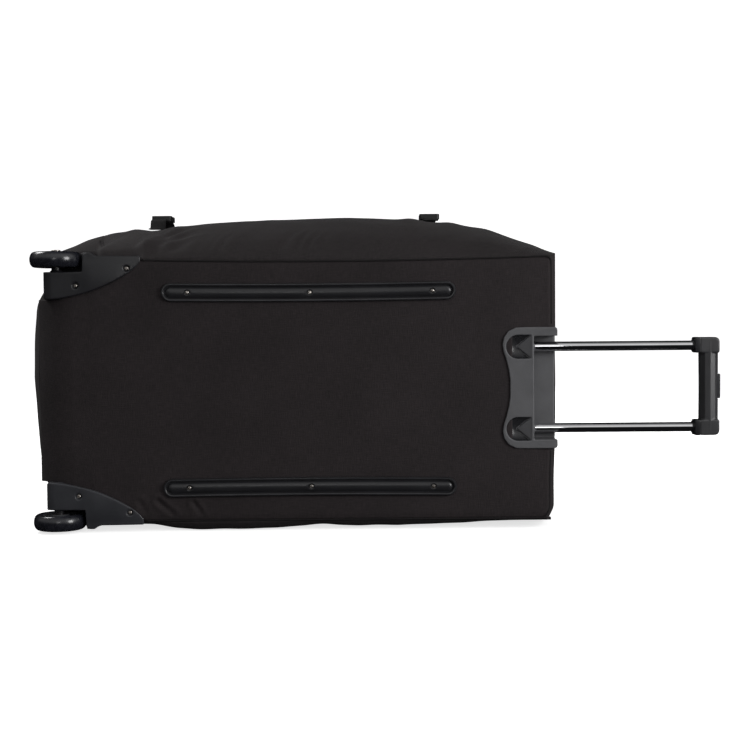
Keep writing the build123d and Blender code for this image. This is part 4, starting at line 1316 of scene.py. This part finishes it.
# --- pull handle ----------------------------------------------------------------------------
grip_low, grip_high = bag_box("grip_shell_back")
GRIP_HALF = grip_high.z
GRIP_Y0, GRIP_Y1 = grip_low.y, bag_box("grip_shell_front")[1].y
GRIP_X0, GRIP_X1 = grip_low.x, grip_high.x
BAR_X0, BODY_X0 = 1007.0, 1006.0
GRIP_BLOCK_Z = 51.0  # inner side of the blocks at the bar's ends
# Section of the bar: distance from its bag side, depth.
BAR_FORM = (
    (BAR_X0, 12), (BAR_X0 + 7, 4.4), (BAR_X0 + 15, 3.0), (BAR_X0 + 23, 5.2), (GRIP_X1, 12),
    (GRIP_X1, 20), (BAR_X0 + 23, 26.8), (BAR_X0 + 15, 29), (BAR_X0 + 7, 27.6), (BAR_X0, 20),
)

tubes = []
length = tube_high.x - tube_low.x - 2
tube_form = [(TUBE_R - 0.8, 0), (TUBE_R - 0.2, 0), (TUBE_R, 0.4), (TUBE_R, length), (TUBE_R - 0.8, length)]
for side in (1, -1):
    start = (tube_low.x, TUBE_Y, side * TUBE_Z)
    tubes.append(crisp(lathe("inner_tube", tube_form + tube_form[:1], start, (1, 0, 0), CHROME, 96)))
finish_piece(join("inner_tubes", tubes), "pull_handle", "chrome_tube", "inner_tubes")


def grip_form(x, y, z):
    """Draws the grip's bar in a little at the middle."""
    middle = bump(z, 34)
    return x + 0.5 * middle * (1 - ease(BAR_X0, BAR_X0 + 8, x)), y, z


def grip_block(side):
    """One end of the grip, where a tube goes in."""
    low, high = sorted((side * GRIP_BLOCK_Z, side * (GRIP_HALF + 0.7)))
    end = GRIP_X1 + 0.8
    radii = (4, 4, 8, 4) if side > 0 else (4, 9, 4, 4)
    outline = rounded(((BODY_X0, low), (end, low), (end, high), (BODY_X0, high)), radii, 6)
    return bevel(slab("block", outline, GRIP_Y0 + 0.2, GRIP_Y1 - 0.2, GRIP), 2.6, 5, 50)


def grip():
    """Faceted bar between two blocks, with the line where its two shells meet."""
    bar = slab("grip_back", rounded(BAR_FORM, 1.6, 3), -GRIP_HALF + 6, GRIP_HALF - 6, GRIP, "xy")
    boolean(bar, [grip_block(side) for side in (1, -1)], "UNION")
    tools = [rod(TUBE_R + 0.6, 0, 20, (990, TUBE_Y, side * TUBE_Z), (1, 0, 0), GRIP, 48) for side in (1, -1)]
    tools.append(brick((GRIP_X1 - 12, 10.8, -19.6), (GRIP_X1 + 5, 21.2, 19.6), GRIP))
    for z0, z1 in ((-GRIP_HALF - 5, -GRIP_HALF + 1.2), (GRIP_HALF - 1.2, GRIP_HALF + 5)):
        tools.append(brick((GRIP_X0 - 5, TUBE_Y - 0.35, z0), (GRIP_X0 + 60, TUBE_Y + 0.35, z1), GRIP))
    boolean(bar, tools, "DIFFERENCE")
    return moulding(bar, 0.75, 3, GRIP, grip_form)


finish_piece(grip(), "pull_handle", "housing_plastic", "grip_shell_back", "grip_shell_front")

collars = []
for side in (1, -1):
    low, high = sorted((side * (GRIP_BLOCK_Z + 0.6), side * (GRIP_HALF + 0.9)))
    near, far = GRIP_X0 + 0.4, BODY_X0 + 2.5
    outline = rounded(((near, low), (far, low), (far, high), (near, high)), 3, 4)
    sleeve = bevel(slab("grip_sleeve", outline, GRIP_Y0 + 1, GRIP_Y1 - 1, SLEEVE), 2, 4, 50)
    bore = rod(TUBE_R + 0.5, 0, 30, (990, TUBE_Y, side * TUBE_Z), (1, 0, 0), SLEEVE)
    collars.append(crisp(boolean(sleeve, [bore], "DIFFERENCE"), 45))
COLLAR_BORE = TUBE_R + 0.15
collar_form = ((COLLAR_BORE, 0), (8.6, 0), (9.4, 0.8), (9.4, 2.4), (COLLAR_BORE, 2.4), (COLLAR_BORE, 0))
for side in (1, -1):
    place = (GRIP_X0 - 2.0, TUBE_Y, side * TUBE_Z)
    collars.append(crisp(lathe("collar", collar_form, place, (1, 0, 0), SLEEVE)))
finish_piece(join("tube_collars", collars), "pull_handle", "housing_plastic", "tube_collars")

button_low, button_high = bag_box("push_button")
near, far = button_high.x - 9, button_high.x
corners = ((near, button_low.z), (far, button_low.z), (far, button_high.z), (near, button_high.z))
outline = rounded(corners, (0.5, 2.2, 2.2, 0.5), 5)
cap = bevel(slab("push_button", outline, button_low.y, button_high.y, SLEEVE), 1.4, 4, 50)
finish_piece(crisp(cap, 45), "button", "housing_plastic", "push_button")

# --- compression straps and their buckles ---------------------------------------------------
socket_low, socket_high = bag_box("buckle_socket_left")
clip_high = bag_box("buckle_clip_left")[1]
STRAP_W = 25.0
STRAP_T = 1.6
THREAD_R = 0.32
STRAP_FLAT_Z = socket_low.z - 2.0
BUCKLE_MID_Z = (socket_low.z + socket_high.z) / 2
STRAP_FIRST = bag_box("strap_left_back")[0].y
STRAP_LAST = bag_box("strap_left_front")[1].y


def strap_path(x, points, steps=10):
    """Smooth line through (depth, height) points, never lower than the cloth below it."""
    path = []
    for k in range(len(points) - 1):
        for i in range(steps + (k == len(points) - 2)):
            y = mix(points[k][0], points[k + 1][0], i / steps)
            z = between(points, y)
            under = max(top_z(x + off, y) for off in (-12, -6, 0, 6, 12))
            path.append((x, y, max(z, under + 0.9)))
    return path


def stitch_row(spots):
    """Row of short threads between neighbouring spots, each with a gap after it."""
    made = []
    for a, b in zip(spots, spots[1:]):
        a, b = Vector(a), Vector(b)
        path = [a, a.lerp(b, 0.12) + Vector((0, 0, 0.01)), (a + b) / 2, a.lerp(b, 0.72)]
        made.append(rope("stitch", path, THREAD_R, THREAD, 6, up=(0.3, 0.2, 1)))
    return join("stitches", made)


def strap(name, x):
    """Webbing from the back's seam to the socket and from the clip to the front, sewn at its ends."""
    back = (
        (STRAP_FIRST, top_z(x, STRAP_FIRST) + 1), (STRAP_FIRST + 18, top_z(x, STRAP_FIRST + 18) + 1),
        (STRAP_FIRST + 27, STRAP_FLAT_Z), (socket_low.y + 10, STRAP_FLAT_Z + 0.3),
    )
    front = (
        (clip_high.y - 11, STRAP_FLAT_Z + 0.3), (clip_high.y + 18, STRAP_FLAT_Z - 0.6),
        (290, top_z(x, 290) + 2), (STRAP_LAST, top_z(x, STRAP_LAST) + 1),
    )
    for part, points, sewn, inner in (("back", back, 0, 3), ("front", front, -1, -4)):
        path = strap_path(x, points)
        band = ribbon(f"strap_{name}_{part}", path, STRAP_W, STRAP_T, (1, 0, 0), WEBBING)
        rows = []
        for share in (0.25, 0.75):
            base = Vector(path[sewn]).lerp(Vector(path[inner]), share)
            rows.append(stitch_row([(x - 10.5 + k * 3.0, base.y, base.z + STRAP_T + 0.25) for k in range(8)]))
        finish_piece(join(band.name, [band] + rows), "bag", "webbing", f"strap_{name}_{part}")


def socket(name, x):
    """Female half of a side-release buckle: a flat sleeve with side windows and a strap bar."""
    low, high = socket_low, socket_high
    half = (high.x - low.x) / 2
    right = ((half - 2, low.y), (half, low.y + 7), (half - 2.4, low.y + 15), (half, high.y))
    corners = [(x - right[0][0], low.y)] + [(x + a, y) for a, y in right]
    corners += [(x - a, y) for a, y in right[:0:-1]]
    made = slab(f"buckle_socket_{name}", rounded(corners, 2.5, 5), low.z, high.z, BUCKLE, "xy")
    # Strap's slot, sleeve and two side windows: their plans, and the plastic left above and below.
    cuts = (
        (x - half + 4.2, low.y + 2.6, x + half - 4.2, low.y + 6.6, -3),
        (x - half + 3, low.y + 9, x + half - 3, high.y + 3, 2),
        (x - half - 3, low.y + 12.5, x - half + 3.4, low.y + 20.5, 2.2),
        (x + half - 3.4, low.y + 12.5, x + half + 3, low.y + 20.5, 2.2),
    )
    tools = [brick((x0, y0, low.z + left), (x1, y1, high.z - left), BUCKLE) for x0, y0, x1, y1, left in cuts]
    boolean(made, tools, "DIFFERENCE")
    moulding(made, 0.55, 3, BUCKLE)
    finish_piece(made, "bag", "buckle_plastic", f"buckle_socket_{name}")


def clip(name, x):
    """Male half: two springy prongs, a guide between them and a ladder for the strap."""
    low, high = bag_box(f"buckle_clip_{name}")
    body_y = high.y - 14
    plan = ((-16.6, body_y + 0.3), (16.6, body_y + 0.3), (16.6, high.y - 3), (14, high.y), (-14, high.y),
            (-16.6, high.y - 3))
    outline = rounded([(x + a, y) for a, y in plan], 1.5, 4)
    made = slab(f"buckle_clip_{name}", outline, low.z, high.z, BUCKLE, "xy")
    rungs = (body_y + 3.4, body_y + 8.6)
    slots = [brick((x - 12.9, y, low.z - 3), (x + 12.9, y + 2.9, high.z + 3), BUCKLE) for y in rungs]
    boolean(made, slots, "DIFFERENCE")
    guide = (x - 1.8, low.y + 4, BUCKLE_MID_Z - 1.7), (x + 1.8, body_y + 2, BUCKLE_MID_Z + 1.7)
    prongs = [brick(*guide, BUCKLE)]
    prong = ((7.6, body_y + 2), (9.4, low.y + 7), (10.2, low.y + 0.6), (12.2, low.y + 1.2),
             (12.9, low.y + 7.5), (11.4, low.y + 8.4), (10.9, body_y + 2))
    for side in (1, -1):
        outline = [(x + side * a, y) for a, y in prong]
        prongs.append(slab("prong", outline, BUCKLE_MID_Z - 1.9, BUCKLE_MID_Z + 1.9, BUCKLE, "xy"))
    boolean(made, prongs, "UNION")
    moulding(made, 0.55, 3, BUCKLE)
    finish_piece(made, f"clip_{name}", "buckle_plastic", f"buckle_clip_{name}")


for name, x in STRAPS.items():
    strap(name, x)
    socket(name, x)
    clip(name, x)

# --- side handle ----------------------------------------------------------------------------
carry_low, carry_high = bag_box("side_handle")
CARRY_Y = (carry_low.y + carry_high.y) / 2
CARRY_X = (carry_low.x + carry_high.x) / 2


def carry_handle():
    """Padded loop: webbing sewn to the bag at its ends, a soft sleeve round the middle."""
    half = (carry_high.x - carry_low.x) / 2
    path = []
    for k in range(61):
        share = k / 30 - 1
        x = CARRY_X + half * share
        ground = top_z(x, CARRY_Y) + 0.8
        rise = (carry_high.z - 3.4 - ground) * (1 - ease(0.45, 0.86, abs(share)))
        path.append((x, CARRY_Y, ground + rise))
    band = ribbon("side_handle", path, 38, 1.7, (0, -1, 0), WEBBING)
    held = [(x, y, z + 0.9) for x, y, z in path[17:44]]
    radii = [8.0 + 9.5 * (1 - abs(k / 13 - 1) ** 6) for k in range(len(held))]
    sleeve = rope("sleeve", held, radii, PACK_CLOTH, 28, up=(0, 0, 1), squash=0.24)
    rows = []
    for end in (path[1:7], path[-7:-1]):
        for y in (CARRY_Y - 15, CARRY_Y + 15):
            rows.append(stitch_row([(p[0], y, p[2] + 2.1) for p in end]))
    handle = join("side_handle", [band, sleeve] + rows)
    finish_piece(handle, "bag", "webbing", "side_handle")


carry_handle()

# --- zip sliders and pulls ------------------------------------------------------------------
def slider(node, body):
    """Die-cast slider: a waisted body with a bridge over it."""
    low, high = bag_box(node)
    x, z = face_centre(low, high)
    wide, tall = (high.x - low.x) / 2, (high.z - low.z) / 2
    right = ((-0.5, 1), (0.4, 1), (1, 0.75))
    upper = [(-1, 0.55)] + list(right)
    plan = [(a, -b) for a, b in upper] + [(a, b) for a, b in reversed(upper)]
    outline = rounded([(x + wide * a, z + tall * b) for a, b in plan], 1.6, 4)
    made = slab(node, outline, low.y + 0.1, low.y + 2.5, PAINTED)
    arch = []
    for k in range(13):
        a = math.pi * k / 12
        arch.append((x - math.cos(a) * 3.4, low.y + 2.0 + 2.6 * math.sin(a), z))
    bridge = rope("bridge", arch, 0.75, PAINTED, 12, up=(0, 0, 1), squash=2.4)
    bevel(made, 0.5, 3)
    finish_piece(join(node, [crisp(made), bridge]), body, "slider_metal", node)
    return x


def pull(node, body, x):
    """Slider's pull: a ring, a neck and a ribbed tab."""
    low, high = bag_box(node)
    y = (low.y + high.y) / 2
    half, top, bottom = (high.x - low.x) / 2 - 0.3, high.z - 0.2, low.z + 0.4
    ring = []
    for k in range(28):
        a = 2 * math.pi * k / 28
        ring.append((x + 2.6 * math.cos(a), y, top - 3.3 + 3.1 * math.sin(a)))
    loop = rope("loop", ring, 0.6, PAINTED, closed=True)
    right = ((2.2, top - 6.6), (half, top - 10), (half, bottom))
    corners = [(x - 2.2, top - 6.6)] + [(x + a, z) for a, z in right] + [(x - a, z) for a, z in right[:0:-1]]
    outline = rounded(corners, (0.6, 0.6, 2, 2.6, 2.6, 2), 6)
    tab = slab("tab", outline, y - 0.75, y + 0.75, PAINTED)
    ribs = []
    for k in range(7):
        line = top - 12.5 - 2.1 * k
        path = [(x - half + 1.4, y, line), (x + half - 1.4, y, line)]
        ribs.append(rope("rib", path, 1.05, PAINTED, up=(0, 0, 1)))
    bevel(tab, 0.4, 3)
    finish_piece(join(node, [crisp(tab), loop] + ribs), body, "slider_metal", node)


for slider_node, slider_body, pull_node, pull_body in (
    ("main_slider_1", "slider_1", "main_pull_1", "pull_1"),
    ("main_slider_2", "slider_2", "main_pull_2", "pull_2"),
    ("pocket_slider", "pocket_slider", "pocket_pull", "pocket_pull"),
):
    pull(pull_node, pull_body, slider(slider_node, slider_body))

# --- CAD nodes that stay --------------------------------------------------------------------
KEPT = {
    STEEL: ("wheel_axles", "axle_nuts", "board_nuts", "wheel_bearings_upper", "wheel_bearings_lower",
            "push_rods", "button_springs", "lock_pin_upper", "lock_pin_lower"),
    ALUMINIUM: ("outer_tubes",),
    SLEEVE: ("axle_spacers", "tube_bushings", "tube_foot", "tube_plugs", "button_crossbar"),
    BOARD: ("back_board",),
}
for material, nodes in KEPT.items():
    for node in nodes:
        for place in bpy.data.objects[node].material_slots:
            place.material = material

# --- floor, lights and camera ---------------------------------------------------------------
CAMERA = (506.3, -2000.0, 97.0)
PITCH, ROLL = 2.165, -0.45
LENS = 62.6
# Height of the light in the sky, its brightness.
SKY = ((0.001, 0.015), (0.06, 0.06), (0.2, 0.5), (0.35, 0.92), (0.62, 0.7), (0.85, 0.08))
SKY_STRENGTH = 0.88
BEHIND, WHEEL_SIDE = 0.15, 0.55  # shares of the sky's brightness beyond the bag and on its wheel side

# Paper sweep that rises beyond the bag: depth, height over the floor.
SWEEP = (
    (-3500, 0), (-1500, 0), (300, 0), (900, 0), (1500, 30),
    (2000, 180), (2350, 460), (2550, 900), (2600, 1500), (2600, 3600),
)
# Soft lights: name, place, aim, size in mm, power in watts, whether glossy surfaces show it.
LIGHTS = (
    ("top_light", (450, -900, 1500), (400, 100, 0), (2600, 1200), 2, True),
    ("handle_light", (2300, -1300, 500), (600, 0, 0), (900, 900), 27, True),
    ("wheel_light", (-650, 250, 1000), (60, 100, 220), (400, 400), 6, True),
    ("tip_light", (230, -2100, 320), (130, 0, 190), (420, 420), 1.6, True),
    ("front_light", (500, 1750, 430), (400, 330, 0), (1500, 500), 15, False),
)

points = [(x, y, FLOOR - 0.3 + z) for y, z in SWEEP for x in (-4500, 5500)]
faces = [(2 * k, 2 * k + 1, 2 * k + 3, 2 * k + 2) for k in range(len(SWEEP) - 1)]
stage = new_object("studio_floor", points, faces, FLOOR_PAINT)

for name, place, aim, size, power, glossy in LIGHTS:
    data = bpy.data.lights.new(name, "AREA")
    data.shape = "RECTANGLE"
    data.size, data.size_y = size[0] * MM, size[1] * MM
    data.energy = power
    lamp = bpy.data.objects.new(name, data)
    lamp.location = at(*place)
    lamp.rotation_euler = (at(*aim) - at(*place)).to_track_quat("-Z", "Y").to_euler()
    lamp.visible_camera = False
    lamp.visible_glossy = glossy
    bpy.context.scene.collection.objects.link(lamp)

world = bpy.data.worlds.new("studio")
world.use_nodes = True
n = Nodes("studio", world.node_tree)
split = n.add("ShaderNodeSeparateXYZ", {0: n.place("Generated")})
seen = n.add("ShaderNodeLightPath").outputs["Is Camera Ray"]
beyond = n.ramp(split.outputs["Y"], ((0.0, (1, 1, 1)), (0.3, (BEHIND,) * 3)))
sideways = n.ramp(n.total((split.outputs["X"], 0.8), 0.8), ((0.0, (WHEEL_SIDE,) * 3), (1.0, (1, 1, 1))))
height = n.ramp(split.outputs["Z"], [(place, (grey, grey, grey)) for place, grey in SKY])
light = n.math("MULTIPLY", n.math("MULTIPLY", height, beyond), n.math("MULTIPLY", sideways, SKY_STRENGTH))
background = world.node_tree.nodes["Background"]
world.node_tree.links.new(n.math("MAXIMUM", light, seen), background.inputs["Strength"])
background.inputs["Color"].default_value = (1, 1, 1, 1)
bpy.context.scene.world = world
bpy.context.scene.view_settings.view_transform = "Standard"

camera_data = bpy.data.cameras.new("camera")
camera_data.lens = LENS
camera_data.sensor_width = 36
camera = bpy.data.objects.new("camera", camera_data)
turn = Matrix.Rotation(math.radians(90 - PITCH), 4, "X") @ Matrix.Rotation(math.radians(ROLL), 4, "Z")
camera.matrix_world = Matrix.Translation(at(*CAMERA)) @ turn
bpy.context.scene.collection.objects.link(camera)
bpy.context.scene.camera = camera
